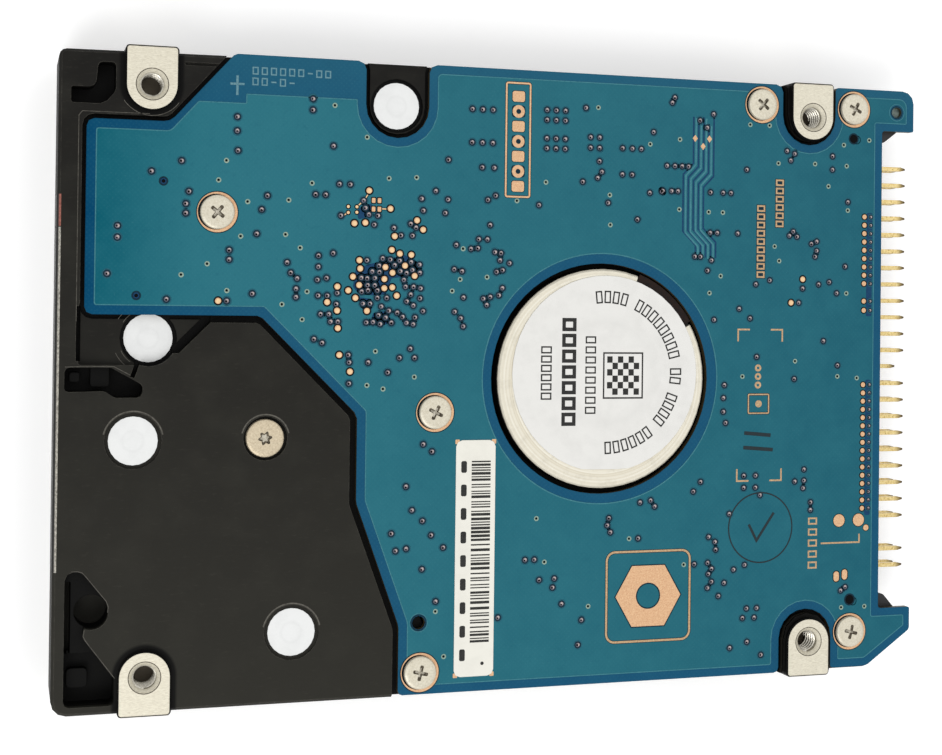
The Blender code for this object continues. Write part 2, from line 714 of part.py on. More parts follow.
def make_connector(mats):
    face = fillet(box_corners(9.0, 3.5, 63.4, BOARD_Z0 - FIT, 0.3))
    holes = [square(y, z, PIN_SIDE / 2 + 0.03) for y, z in pin_places()]
    housing = link("connector_housing", stand_up(prism_bmesh(face, 94.45, 95.55, holes)), mats["plastic"])
    for corners in (LOW_GUIDE, HIGH_GUIDE):
        join(housing, prism("guide", fillet(corners), 3.5, BOARD_Z0 - FIT))
    carrier = fillet(box_corners(11.4, 4.5, 61.2, 7.3))
    comb = link("connector_pins", stand_up(prism_bmesh(carrier, 94.1, 94.35)), mats["gold"])
    join(comb, make_pin_bars())


def make_pin_bars():
    """Square pins with pointed tips."""
    half, tip = PIN_SIDE / 2, PIN_SIDE / 5
    bm = bmesh.new()
    for y, z in pin_places():
        rings = [(94.2, half), (PIN_TIP_X - 0.7, half), (PIN_TIP_X, tip)]
        loft(bm, [[(x, py, pz) for py, pz in square(y, z, size)] for x, size in rings])
    return link("pin_bars", bm)


# ------------------------------------------------------------------ spindle motor and disk
def make_motor(mats):
    top = MOTOR_FACE_Z
    profile = [
        (0, top),
        (12.25, top),
        (12.45, top - 0.2),
        (12.45, 5.57),
        (13.6, 5.57),
        (13.6, 5.0),
        (11.9, 5.0),
        (11.9, 7.8),
        (4.9, 7.8),
        (4.9, 6.0),
        (3.97, 6.0),
        (3.97, 7.9),
        (0, 7.9),
    ]
    base = lathe("motor_base", SPINDLE, profile, mats["steel"], 56)
    a0, a1 = radians(30), radians(70)
    cut(base, prism("flex_exit", fan(SPINDLE, 11.55, 13.5, a0, a1), 8.05, HEIGHT))
    prism("motor_flex", fan(SPINDLE, 11.6, 12.8, a0 + 0.02, a1 - 0.02), 8.08, 8.2, mats["film"])
    sleeve = [(1.56, 2.9), (3.94, 2.9), (3.94, 7.85), (1.56, 7.85)]
    lathe("bearing_sleeve", SPINDLE, sleeve, mats["alloy"], 28)
    make_stator(mats)


def make_stator(mats, teeth=9):
    core, wire_ring = circle(SPINDLE, 6.1, 36), circle(SPINDLE, 6.55, 36)
    core_ring = prism("stator_core", core, 6.05, 6.75, mats["steel"], [circle(SPINDLE, 4.93, 36)])
    for i in range(teeth):
        angle = 2 * pi * i / teeth
        arm = turned_corners(polar(SPINDLE, 7.4, angle), 3.4, 1.1, angle)
        shoe = fan(SPINDLE, 8.85, 9.45, angle - 0.27, angle + 0.27, 4)
        join(core_ring, prism("tooth", fillet(arm), 6.05, 6.75), prism("shoe", shoe, 6.05, 6.75))
    wire = prism("stator_windings", wire_ring, 6.85, 7.15, mats["copper"], [circle(SPINDLE, 5.3, 36)])
    for i in range(teeth):
        angle = 2 * pi * i / teeth
        coil = turned_corners(polar(SPINDLE, 7.5, angle), 2.3, 2.1, angle, 0.35)
        gap = turned_corners(polar(SPINDLE, 7.5, angle), 4.4, 1.2, angle)
        around = prism("coil", fillet(coil, 45), 5.7, 7.1)
        cut(around, prism("coil_gap", fillet(gap), 6.02, 6.78))
        join(wire, around)


def make_rotor(mats):
    hub = [
        (1.53, 1.7),
        (9.95, 1.7),
        (9.95, DISK_Z[1] + FIT),
        (11.4, DISK_Z[1] + FIT),
        (11.4, 7.4),
        (10.6, 7.4),
        (10.6, 4.3),
        (4.3, 4.3),
        (4.3, 2.7),
        (1.53, 2.7),
    ]
    lathe("spindle_hub", SPINDLE, hub, mats["alloy"], 32)
    shaft = [(0.75, 1.72), (1.5, 1.72), (1.5, 7.7), (0, 7.7), (0, 2.8), (0.75, 2.8)]
    lathe("spindle_shaft", SPINDLE, shaft, mats["steel"], 20)
    ring = [(9.75, 5.4), (10.57, 5.4), (10.57, 7.2), (9.75, 7.2)]
    lathe("rotor_magnet", SPINDLE, ring, mats["magnet"], 32)
    disk = [(DISK_BORE_R, DISK_Z[0]), (DISK_R, DISK_Z[0]), (DISK_R, DISK_Z[1]), (DISK_BORE_R, DISK_Z[1])]
    lathe("disk_platter", SPINDLE, disk, mats["disk"], 64)
    low, lip = 1.67, DISK_Z[0] - FIT
    clamp = [(1.0, 1.2), (10.9, 1.2), (11.2, 1.5), (11.2, lip), (10.1, lip), (10.1, low), (1.0, low)]
    lathe("disk_clamp", SPINDLE, clamp, mats["steel"], 32)
    screw = lathe("clamp_screw", SPINDLE, screw_profile(2.1, 1.17, 0.7, 0.7, 2.7), mats["steel"], 20)
    cut(screw, star_recess(SPINDLE, 0, 0.95, 0.8))


# ------------------------------------------------------------------ actuator
def arm_point(reach, side, angle=PARK_ANGLE):
    """A point reach from the pivot along angle and side to its left."""
    x, y = polar(PIVOT, reach, angle)
    return (x - side * sin(angle), y + side * cos(angle))


def tapered(near, far):
    """A tapered outline along the arm, from (reach, half width, corner radius) at each end."""
    (r0, half0, round0), (r1, half1, round1) = near, far
    return [
        (*arm_point(r0, -half0), round0),
        (*arm_point(r1, -half1), round1),
        (*arm_point(r1, half1), round1),
        (*arm_point(r0, half0), round0),
    ]


def make_actuator(mats):
    shaft = [(0, 1.0), (1.6, 1.0), (1.6, 6.7), (2.6, 6.7), (2.6, 7.37), (1.05, 7.37), (1.05, 6.7), (0, 6.7)]
    lathe("pivot_shaft", PIVOT, shaft, mats["steel"], 20)
    lathe("pivot_bearing", PIVOT, [(1.66, 1.3), (3.6, 1.3), (3.6, 6.4), (1.66, 6.4)], mats["steel"], 28)
    barrel = [(3.64, 1.35), (5.5, 1.35), (5.5, 5.3), (3.64, 5.3)]
    arm = lathe("actuator_arm", PIVOT, barrel, mats["alloy"], 32)
    blade = tapered((4.2, 4.2, 0.0), (24.5, 2.2, 1.0))
    window = tapered((10.5, 1.7, 0.5), (19.0, 1.0, 0.4))
    for z0, z1 in ((1.35, 1.95), (4.25, 4.85)):
        join(arm, prism("blade", fillet(blade), z0, z1, holes=[fillet(window)]))
    for side, length in ((-1, 17.6), (1, 19.9)):
        finger = coil_finger(side, length)
        join(arm, prism("coil_finger", finger, COIL_Z[0], COIL_Z[1]))
    make_coil(mats)
    make_suspensions(mats)


def coil_finger(side, length):
    """One side of the fork that carries the coil."""
    half = radians(19.0)
    places = (  # (distance from the pivot, angle off the coil's middle line)
        (4.6, 0.2),
        (8.2, half + 0.03),
        (length, half + 0.03),
        (length, half + 0.10),
        (8.0, half + 0.17),
        (4.6, 0.75),
    )
    outline = [polar(PIVOT, r, COIL_ANGLE + side * angle) for r, angle in places]
    return outline if side < 0 else outline[::-1]


def coil_corners(inset):
    half = radians(18.5)
    r0, r1 = 8.6 + inset, 17.5 - inset
    spread0, spread1 = half - inset / r0, half - inset / r1
    corners = [(r0, -spread0), (r1, -spread1), (r1, spread1), (r0, spread0)]
    radius = 1.6 if inset == 0 else 0.5
    return [(*polar(PIVOT, r, COIL_ANGLE + a), radius) for r, a in corners]


def make_coil(mats):
    low, high = COIL_Z[0] + 0.05, COIL_Z[1] - 0.05
    prism("voice_coil", fillet(coil_corners(0)), low, high, mats["copper"], [fillet(coil_corners(2.2))])


def make_suspensions(mats):
    places = (("cover", (1.98, 2.10), (2.08, 2.45)), ("board", (4.10, 4.22), (3.75, 4.12)))
    for name, sheet, slider in places:
        outline = [
            (*arm_point(21.0, -1.9), 0.3),
            (*arm_point(25.0, -1.9), 0.5),
            (*arm_point(32.2, -0.6), 0.1),
            (*arm_point(35.6, -0.25), 0.1),
            (*arm_point(35.6, 0.25), 0.1),
            (*arm_point(32.2, 0.6), 0.1),
            (*arm_point(25.0, 1.9), 0.5),
            (*arm_point(21.0, 1.9), 0.3),
        ]
        spring = prism(f"head_suspension_{name}_side", fillet(outline, 45), *sheet, mats["steel"])
        head = turned_corners(arm_point(HEAD_REACH, 0), 1.25, 1.0, PARK_ANGLE)
        join(spring, prism("slider", fillet(head), *slider))


def make_voice_coil_motor(mats):
    a0, a1 = radians(192.0), radians(271.5)
    plates = (
        ("cover_side_yoke", 0.98, 1.68, 8.0, 18.2, "steel"),
        ("cover_side_magnet", 1.71, 2.4, 9.0, 17.6, "magnet"),
        ("board_side_magnet", 4.3, 5.2, 9.0, 17.6, "magnet"),
        ("board_side_yoke", 5.23, 6.1, 8.0, 18.2, "steel"),
    )
    for name, z0, z1, r0, r1, kind in plates:
        inset = radians(3.0) if kind == "magnet" else 0.0
        prism(name, fan(PIVOT, r0, r1, a0 + inset, a1 - inset, 9), z0, z1, mats[kind])
    stop = polar(PIVOT, 19.0, radians(224.6))
    lathe("crash_stop", stop, [(0, 1.8), (0.7, 1.8), (0.7, 7.37), (0, 7.37)], mats["rubber"], 16)


def make_latch(mats):
    x, y = LATCH_PIVOT
    eye = [(0.65, 2.2), (1.5, 2.2), (1.5, 4.4), (0.65, 4.4)]
    ring = lathe("inertia_latch", LATCH_PIVOT, eye, mats["plastic"], 20)
    lever = [
        (x - 0.8, y + 1.0, 0),
        (x - 6.0, y - 0.2, 0.2),
        (x - 6.6, y + 1.0, 0.2),
        (x - 7.2, y + 0.9, 0.2),
        (x - 6.7, y - 1.3, 0.4),
        (x - 0.8, y - 1.1, 0),
    ]
    weight = [
        (x + 0.9, y - 0.9, 0),
        (x + 3.4, y - 0.9, 0.4),
        (x + 3.4, y + 1.9, 0.5),
        (x + 0.9, y + 1.0, 0),
    ]
    join(ring, prism("lever", fillet(lever, 45), 2.7, 4.0), prism("weight", fillet(weight, 45), 2.2, 4.4))


def make_ramp(mats):
    a0, a1 = radians(57.5), radians(73.0)
    ramp = prism("load_ramp", fan(PIVOT, 33.9, 37.2, a0, a1, 5), 2.16, 4.04, mats["ramp"])
    foot = fan(PIVOT, 36.1, 37.2, radians(62.5), radians(73.0), 4)
    join(ramp, prism("ramp_foot", foot, 2.16, HEAD_BAY_TOP_Z - FIT))
    cut(ramp, prism("disk_slot", circle(SPINDLE, DISK_R + 0.6, 64), DISK_Z[0] - 0.22, DISK_Z[1] + 0.22))


def ribbon(points, half_t):
    """The outline of a strip of even thickness along a line of points."""
    left, right = [], []
    for i, point in enumerate(points):
        ahead = Vector(points[min(i + 1, len(points) - 1)]) - Vector(points[max(i - 1, 0)])
        across = Vector((-ahead.y, ahead.x)).normalized() * half_t
        left.append(tuple(Vector(point) + across))
        right.append(tuple(Vector(point) - across))
    return right + left[::-1]


def bezier(p0, p1, p2, p3, steps=10):
    found = []
    for i in range(steps + 1):
        t = i / steps
        weights = ((1 - t) ** 3, 3 * t * (1 - t) ** 2, 3 * t * t * (1 - t), t**3)
        found.append(tuple(sum(w * p[k] for w, p in zip(weights, (p0, p1, p2, p3))) for k in (0, 1)))
    return found


def make_head_wiring(mats):
    x0, y0, x1, y1 = HEAD_SLOT
    plate = fillet(box_corners(6.0, 44.6, 19.4, 51.6, 1.0))
    bracket = prism("flex_bracket", plate, 4.5, HEAD_BAY_TOP_Z - FIT, mats["steel"])
    header = fillet(box_corners(x0 + 0.2, y0 + 0.2, x1 - 0.2, y1 - 0.2))
    join(bracket, prism("header", header, 4.9, 6.9))
    start = arm_point(3.6, 4.4)
    path = bezier((14.9, 45.0), (12.0, 38.5), (13.4, 33.2), start)
    prism("flex_cable", ribbon(path, 0.06), 2.4, 4.46, mats["film"])


def make_filters(mats):
    prism("breather_filter", fillet(box_corners(83.2, 41.0, 89.4, 47.0, 0.8)), 0.53, 1.15, mats["filter"])
    place = turned_corners((40.0, 8.0), 6.0, 1.4, radians(-36.7), 0.3)
    prism("recirculation_filter", fillet(place, 45), 1.5, 5.2, mats["filter"])


def main():
    clear_scene()
    mats = make_materials()
    make_casting(mats)
    make_cover(mats)
    make_gasket(mats)
    make_labels(mats)
    make_board(mats)
    make_screws(mats)
    make_connector(mats)
    make_motor(mats)
    make_rotor(mats)
    make_actuator(mats)
    make_voice_coil_motor(mats)
    make_latch(mats)
    make_ramp(mats)
    make_head_wiring(mats)
    make_filters(mats)


main()
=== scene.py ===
"""The looks of a 2.5 inch hard disk drive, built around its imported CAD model.

Lengths are in millimetres in drawing coordinates until at() turns them into the frame's metres: x runs
from the closed end to the connector end, y across the width, and z up from the cover to the board side.
"""

import random
from functools import partialmethod
from math import atan2, cos, pi, radians, sin, tan

import bpy
from mathutils import Euler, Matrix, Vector, geometry


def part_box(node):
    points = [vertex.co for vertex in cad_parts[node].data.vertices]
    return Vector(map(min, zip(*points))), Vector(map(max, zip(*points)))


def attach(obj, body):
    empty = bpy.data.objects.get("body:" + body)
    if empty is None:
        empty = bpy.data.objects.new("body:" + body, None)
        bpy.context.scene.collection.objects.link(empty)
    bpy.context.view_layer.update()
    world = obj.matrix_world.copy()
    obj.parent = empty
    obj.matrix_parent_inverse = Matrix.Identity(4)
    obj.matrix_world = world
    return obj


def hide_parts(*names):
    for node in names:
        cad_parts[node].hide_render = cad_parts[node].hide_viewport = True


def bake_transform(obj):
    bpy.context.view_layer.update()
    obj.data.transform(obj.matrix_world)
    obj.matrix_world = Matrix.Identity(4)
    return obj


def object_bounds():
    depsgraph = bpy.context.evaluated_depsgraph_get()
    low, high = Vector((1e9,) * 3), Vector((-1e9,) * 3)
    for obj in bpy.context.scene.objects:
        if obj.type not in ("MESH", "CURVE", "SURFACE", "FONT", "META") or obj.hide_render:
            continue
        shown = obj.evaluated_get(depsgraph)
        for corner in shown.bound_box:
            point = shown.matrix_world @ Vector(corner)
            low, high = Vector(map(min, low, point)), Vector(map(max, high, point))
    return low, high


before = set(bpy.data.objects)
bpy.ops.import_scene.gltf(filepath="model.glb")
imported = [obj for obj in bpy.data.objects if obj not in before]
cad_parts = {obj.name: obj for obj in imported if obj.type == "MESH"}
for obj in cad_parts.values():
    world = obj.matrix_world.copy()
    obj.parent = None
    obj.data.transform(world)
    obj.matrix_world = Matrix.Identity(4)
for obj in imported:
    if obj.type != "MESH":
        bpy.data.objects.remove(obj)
CAD_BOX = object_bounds()

LENGTH = 100.0
WIDTH = 69.85


def drawn_box(node):
    """A CAD node's lowest and highest corners in drawing coordinates."""
    return [(c.x * 1000 + LENGTH / 2, c.y * 1000 + WIDTH / 2, c.z * 1000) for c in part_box(node)]


TOP = drawn_box("circuit_board")[1][2]  # outer face of the board
POUR_Z = TOP + 0.020  # the lacquer stands this much higher over the copper pour
PAD_Z = drawn_box("base_casting")[1][2]  # faces of the mounting pads
RIM_Z = 8.9  # the casting's rim
RECESS_Z = 8.1  # floor of the casting's shallow recess at the closed end
SINK = 0.004  # how far a flat mark reaches into the lacquer it lies on
LIFT = 0.004  # the underside of the lacquer and the legend, above the board's outer face
SPINDLE = (60.1, 35.0)
PIVOT = (21.75, 28.7)
PADS = tuple((x, y) for x in (9.4, 86.0) for y in (4.07, WIDTH - 4.07))
THREAD_RADIUS, THREAD_PITCH = 1.25, 0.5
SIDE_THREAD_Z = PAD_Z - 3.0
SIDE_PAD_FOOT = 3.4  # lower edge of the machined faces on the long sides
BOARD_SCREWS = ((16.4, 52.7), (40.5, 31.3), (39.1, 2.8), (79.8, 67.1), (91.9, 67.1), (91.9, 4.8))
COVER_SCREWS = ((3.0, 3.0), (3.0, 66.85), (36.0, 2.0), (36.0, 67.9), (91.5, 3.0), (91.5, 66.85))
MOTOR_OPENING = 14.15  # radius of the board's opening round the motor
TOOLING_HOLES = ((38.9, 8.25), (97.7, 67.0))

VIAS = (  # read off the photograph to about 0.1 mm, from the closed end on
    (5.1, 46.0), (6.1, 49.8), (6.1, 51.0), (9.5, 56.8), (11.2, 43.4), (12.6, 58.0), (13.1, 52.5),
    (13.1, 53.5), (13.4, 54.8), (17.5, 43.3), (17.7, 47.7), (17.7, 48.7), (18.4, 61.4), (18.4, 62.9),
    (18.5, 59.3), (20.2, 44.1), (20.6, 50.5), (21.1, 53.1), (21.7, 54.6), (23.9, 47.5), (24.3, 46.4),
    (24.9, 43.8), (24.9, 44.7), (25.0, 45.8), (26.5, 64.0), (26.5, 65.2), (26.9, 39.3), (26.9, 54.9),
    (27.2, 45.7), (27.3, 44.0), (27.3, 47.1), (27.3, 48.3), (27.6, 42.0), (27.8, 38.9), (28.0, 54.9),
    (28.2, 45.9), (28.3, 44.0), (28.5, 42.0), (28.7, 41.2), (28.8, 60.2), (28.9, 48.6), (29.3, 43.1),
    (29.4, 44.3), (29.5, 41.2), (29.5, 56.1), (29.7, 52.7), (30.7, 37.6), (30.7, 56.1), (30.8, 34.5),
    (30.8, 36.8), (32.2, 54.4), (32.4, 53.6), (32.8, 52.9), (32.9, 36.8), (33.4, 51.8), (33.8, 52.8),
    (35.1, 35.7), (35.6, 51.5), (35.7, 18.1), (36.2, 16.2), (36.4, 37.3), (36.4, 50.7), (37.3, 23.2),
    (37.4, 16.4), (37.5, 52.0), (37.6, 38.3), (37.7, 50.7), (38.0, 20.6), (38.1, 37.3), (38.1, 51.6),
    (38.7, 54.8), (38.9, 53.5), (39.2, 14.1), (39.2, 19.4), (39.2, 27.8), (40.2, 17.8), (40.2, 27.0),
    (40.3, 55.7), (40.8, 10.5), (41.4, 53.3), (41.6, 16.4), (41.7, 54.8), (41.7, 59.2), (42.5, 47.1),
    (42.6, 42.4), (42.7, 49.8), (43.3, 41.7), (43.4, 46.9), (43.6, 40.8), (43.6, 44.0), (44.4, 49.4),
    (45.2, 49.5), (45.3, 50.5), (45.6, 58.5), (45.9, 43.9), (46.3, 43.2), (46.3, 50.5), (46.3, 54.9),
    (46.6, 52.1), (46.7, 44.1), (47.0, 58.5), (47.2, 49.1), (47.2, 55.4), (47.4, 46.9), (47.7, 44.3),
    (47.8, 48.2), (47.9, 49.0), (48.0, 8.4), (48.1, 45.1), (48.1, 47.1), (48.9, 47.9), (51.1, 14.7),
    (52.2, 14.7), (52.3, 54.5), (52.8, 12.4), (54.4, 11.5), (54.6, 12.5), (55.5, 9.6), (57.5, 4.9),
    (57.5, 57.3), (57.8, 65.7), (57.9, 7.7), (59.3, 57.8), (59.5, 59.7), (59.8, 58.5), (60.6, 55.0),
    (60.9, 18.3), (61.1, 19.1), (61.3, 17.5), (62.3, 58.3), (62.3, 61.3), (63.5, 58.3), (63.5, 61.3),
    (64.2, 53.2), (64.6, 61.3), (64.7, 16.7), (64.9, 20.8), (65.7, 56.3), (66.1, 63.3), (66.2, 21.0),
    (66.7, 20.3), (67.2, 56.5), (67.3, 56.6), (67.8, 59.5), (68.4, 56.6), (68.4, 66.8), (68.7, 67.4),
    (68.8, 59.5), (69.2, 56.6), (69.7, 59.5), (70.5, 59.5), (71.4, 49.1), (71.5, 21.9), (71.7, 13.5),
    (71.9, 64.9), (72.1, 49.1), (72.4, 23.0), (72.8, 64.1), (73.0, 47.5), (73.3, 51.9), (73.3, 56.6),
    (73.4, 10.7), (73.4, 13.6), (73.5, 12.3), (73.5, 16.6), (73.5, 48.7), (73.6, 65.7), (73.9, 11.4),
    (73.9, 12.9), (73.9, 41.8), (74.2, 51.9), (74.3, 16.0), (74.4, 15.1), (74.8, 9.7), (74.9, 56.6),
    (75.2, 31.1), (75.2, 32.7), (75.3, 34.2), (75.5, 11.2), (75.5, 29.8), (75.9, 56.6), (76.1, 19.2),
    (76.3, 3.6), (76.7, 12.7), (76.8, 51.9), (77.1, 43.1), (77.9, 7.0), (77.9, 22.2), (77.9, 23.6),
    (77.9, 59.4), (78.1, 13.2), (78.4, 8.1), (78.5, 4.2), (78.5, 42.0), (79.2, 46.0), (79.4, 7.0),
    (79.4, 22.2), (79.4, 23.6), (79.4, 37.5), (79.7, 8.1), (80.0, 21.3), (80.3, 2.6), (81.0, 46.5),
    (83.1, 61.8), (83.5, 51.8), (83.6, 60.7), (84.0, 52.3), (84.1, 61.5), (84.3, 34.9), (84.5, 22.8),
    (84.5, 51.7), (84.8, 43.9), (85.3, 45.6), (85.6, 22.0), (85.7, 22.9), (85.7, 24.2), (86.4, 50.9),
    (86.6, 19.4), (86.6, 20.3), (86.9, 49.4), (87.1, 50.1), (87.1, 51.2), (87.4, 46.1), (88.1, 39.4),
    (88.8, 46.4), (89.1, 59.8), (89.1, 61.4), (89.8, 45.1), (90.0, 36.5), (90.7, 9.7), (90.9, 48.3),
    (91.2, 56.0), (91.3, 10.1),
)
PACKAGE_VIAS = (  # under the controller's package
    (32.64, 47.89), (34.39, 48.14), (35.24, 48.04), (36.29, 47.94), (37.59, 47.79), (38.54, 47.54),
    (33.99, 47.34), (35.74, 47.44), (37.74, 46.94), (33.24, 46.69), (34.04, 46.64), (36.39, 46.79),
    (37.09, 46.59), (38.59, 46.64), (32.04, 45.99), (32.69, 45.94), (33.54, 45.99), (36.79, 45.84),
    (32.74, 45.19), (33.54, 45.19), (36.99, 45.09), (37.89, 45.09), (38.69, 44.94), (32.09, 44.49),
    (32.79, 44.64), (33.84, 44.64), (37.59, 44.24), (33.84, 43.84), (34.89, 43.84), (38.64, 43.84),
    (37.14, 43.49), (32.24, 43.19), (33.04, 43.19), (37.89, 43.04), (34.29, 42.89), (35.14, 42.44),
    (36.09, 42.24), (38.99, 42.44), (33.99, 41.94), (34.79, 41.69), (36.69, 41.79), (38.09, 41.74),
    (32.64, 41.14), (33.39, 41.19), (34.19, 40.99), (35.44, 41.14), (37.14, 41.14), (37.89, 40.99),
)
SMALL_VIAS = (
    (12.7, 46.0), (15.4, 47.2), (16.5, 56.1), (17.3, 58.2), (17.5, 44.4), (18.9, 50.2), (19.6, 53.9),
    (23.4, 43.0), (23.7, 50.5), (24.0, 54.2), (25.3, 49.1), (25.6, 41.4), (26.1, 44.4), (26.5, 56.1),
    (28.9, 64.6), (32.5, 61.3), (32.8, 34.3), (33.7, 38.0), (34.6, 33.9), (35.0, 56.9), (38.1, 35.2),
    (38.1, 57.1), (40.8, 9.4), (41.8, 4.4), (42.3, 44.7), (43.2, 46.0), (43.5, 49.4), (46.3, 46.3),
    (49.7, 54.9), (52.4, 19.3), (53.1, 57.1), (53.4, 14.4), (58.7, 9.2), (59.3, 65.8), (60.8, 55.9),
    (60.9, 52.5), (63.6, 16.7), (65.7, 61.9), (69.4, 54.5), (69.4, 62.6), (70.4, 13.5), (73.1, 54.3),
    (73.3, 44.9), (74.7, 46.9), (74.9, 54.3), (77.6, 35.2), (78.3, 64.7), (80.8, 64.7), (81.6, 50.5),
    (82.0, 60.3), (82.2, 48.8), (84.4, 37.0), (86.8, 60.4), (88.6, 57.8), (90.0, 35.2), (90.6, 62.8),
    (90.8, 7.7), (91.0, 60.3), (91.1, 45.1), (91.2, 55.0), (92.6, 35.0), (93.9, 7.7), (94.0, 63.5),
)
COPPER_DOTS = (
    (16.6, 43.3), (28.3, 43.3), (29.4, 42.4), (29.4, 45.0), (29.5, 40.5), (29.7, 37.6), (30.6, 44.6),
    (30.9, 35.8), (31.1, 46.1), (31.2, 51.9), (31.4, 43.8), (31.8, 45.2), (31.8, 47.9), (31.9, 47.0),
    (32.4, 52.0), (32.7, 42.4), (32.8, 55.5), (34.6, 44.9), (34.6, 45.9), (34.7, 47.2), (35.2, 53.6),
    (35.4, 49.1), (35.5, 45.0), (35.5, 46.6), (35.7, 50.6), (36.0, 44.1), (36.3, 48.7), (36.9, 47.4),
    (37.6, 48.6), (38.0, 46.3), (38.2, 52.4), (38.9, 51.4), (83.8, 43.9), (85.3, 46.7),
)


# ------------------------------------------------------------------ geometry
def at(x, y, z):
    """A point of the drawing in the frame's metres."""
    return Vector(((x - LENGTH / 2) / 1000, (y - WIDTH / 2) / 1000, z / 1000))


def polar(centre, radius, angle):
    """The point at a radius and angle from centre."""
    return (centre[0] + radius * cos(angle), centre[1] + radius * sin(angle))


def circle(centre, radius, steps):
    return [polar(centre, radius, 2 * pi * i / steps) for i in range(steps)]


def box_corners(x0, y0, x1, y1, r):
    return [(x0, y0, r), (x1, y0, r), (x1, y1, r), (x0, y1, r)]


def fillet(corners, step=15):
    """An outline from (x, y, corner radius) points, each corner rounded by an arc in steps of degrees."""
    outline = []
    for i, (x, y, r) in enumerate(corners):
        here = Vector((x, y))
        to_last = (Vector(corners[i - 1][:2]) - here).normalized()
        to_next = (Vector(corners[(i + 1) % len(corners)][:2]) - here).normalized()
        if r <= 0:
            outline.append((x, y))
            continue
        half = to_last.angle(to_next) / 2
        centre = here + (to_last + to_next).normalized() * (r / sin(half))
        first = here + to_last * (r / tan(half)) - centre
        sweep = (pi - 2 * half) * (-1 if to_last.cross(to_next) > 0 else 1)
        count = max(1, round(abs(sweep) / radians(step)))
        start = atan2(first.y, first.x)
        outline += [polar(centre, r, start + sweep * k / count) for k in range(count + 1)]
    return outline


def shift_out(corners, distance):
    """The corners with every side of the (counter-clockwise) outline moved out by distance."""
    moved = []
    for i, (x, y, r) in enumerate(corners):
        here = Vector((x, y))
        arriving = (here - Vector(corners[i - 1][:2])).normalized()
        leaving = (Vector(corners[(i + 1) % len(corners)][:2]) - here).normalized()
        corner = Vector((arriving.y + leaving.y, -arriving.x - leaving.x))
        point = here + corner * (2 * distance / corner.length_squared)
        swollen = r + (distance if arriving.cross(leaving) > 0 else -distance)
        moved.append((point.x, point.y, max(0.0, swollen) if r else 0.0))
    return moved


def filled(loops):
    """Counter-clockwise triangles, as indices, over the first loop with the others left open."""
    flat = [point for loop in loops for point in loop]
    triangles = []
    for tri in geometry.tessellate_polygon([[Vector((x, y, 0)) for x, y in loop] for loop in loops]):
        a, b, c = (Vector(flat[i]) for i in tri)
        triangles.append(list(tri) if (b - a).cross(c - a) > 0 else list(tri)[::-1])
    return triangles


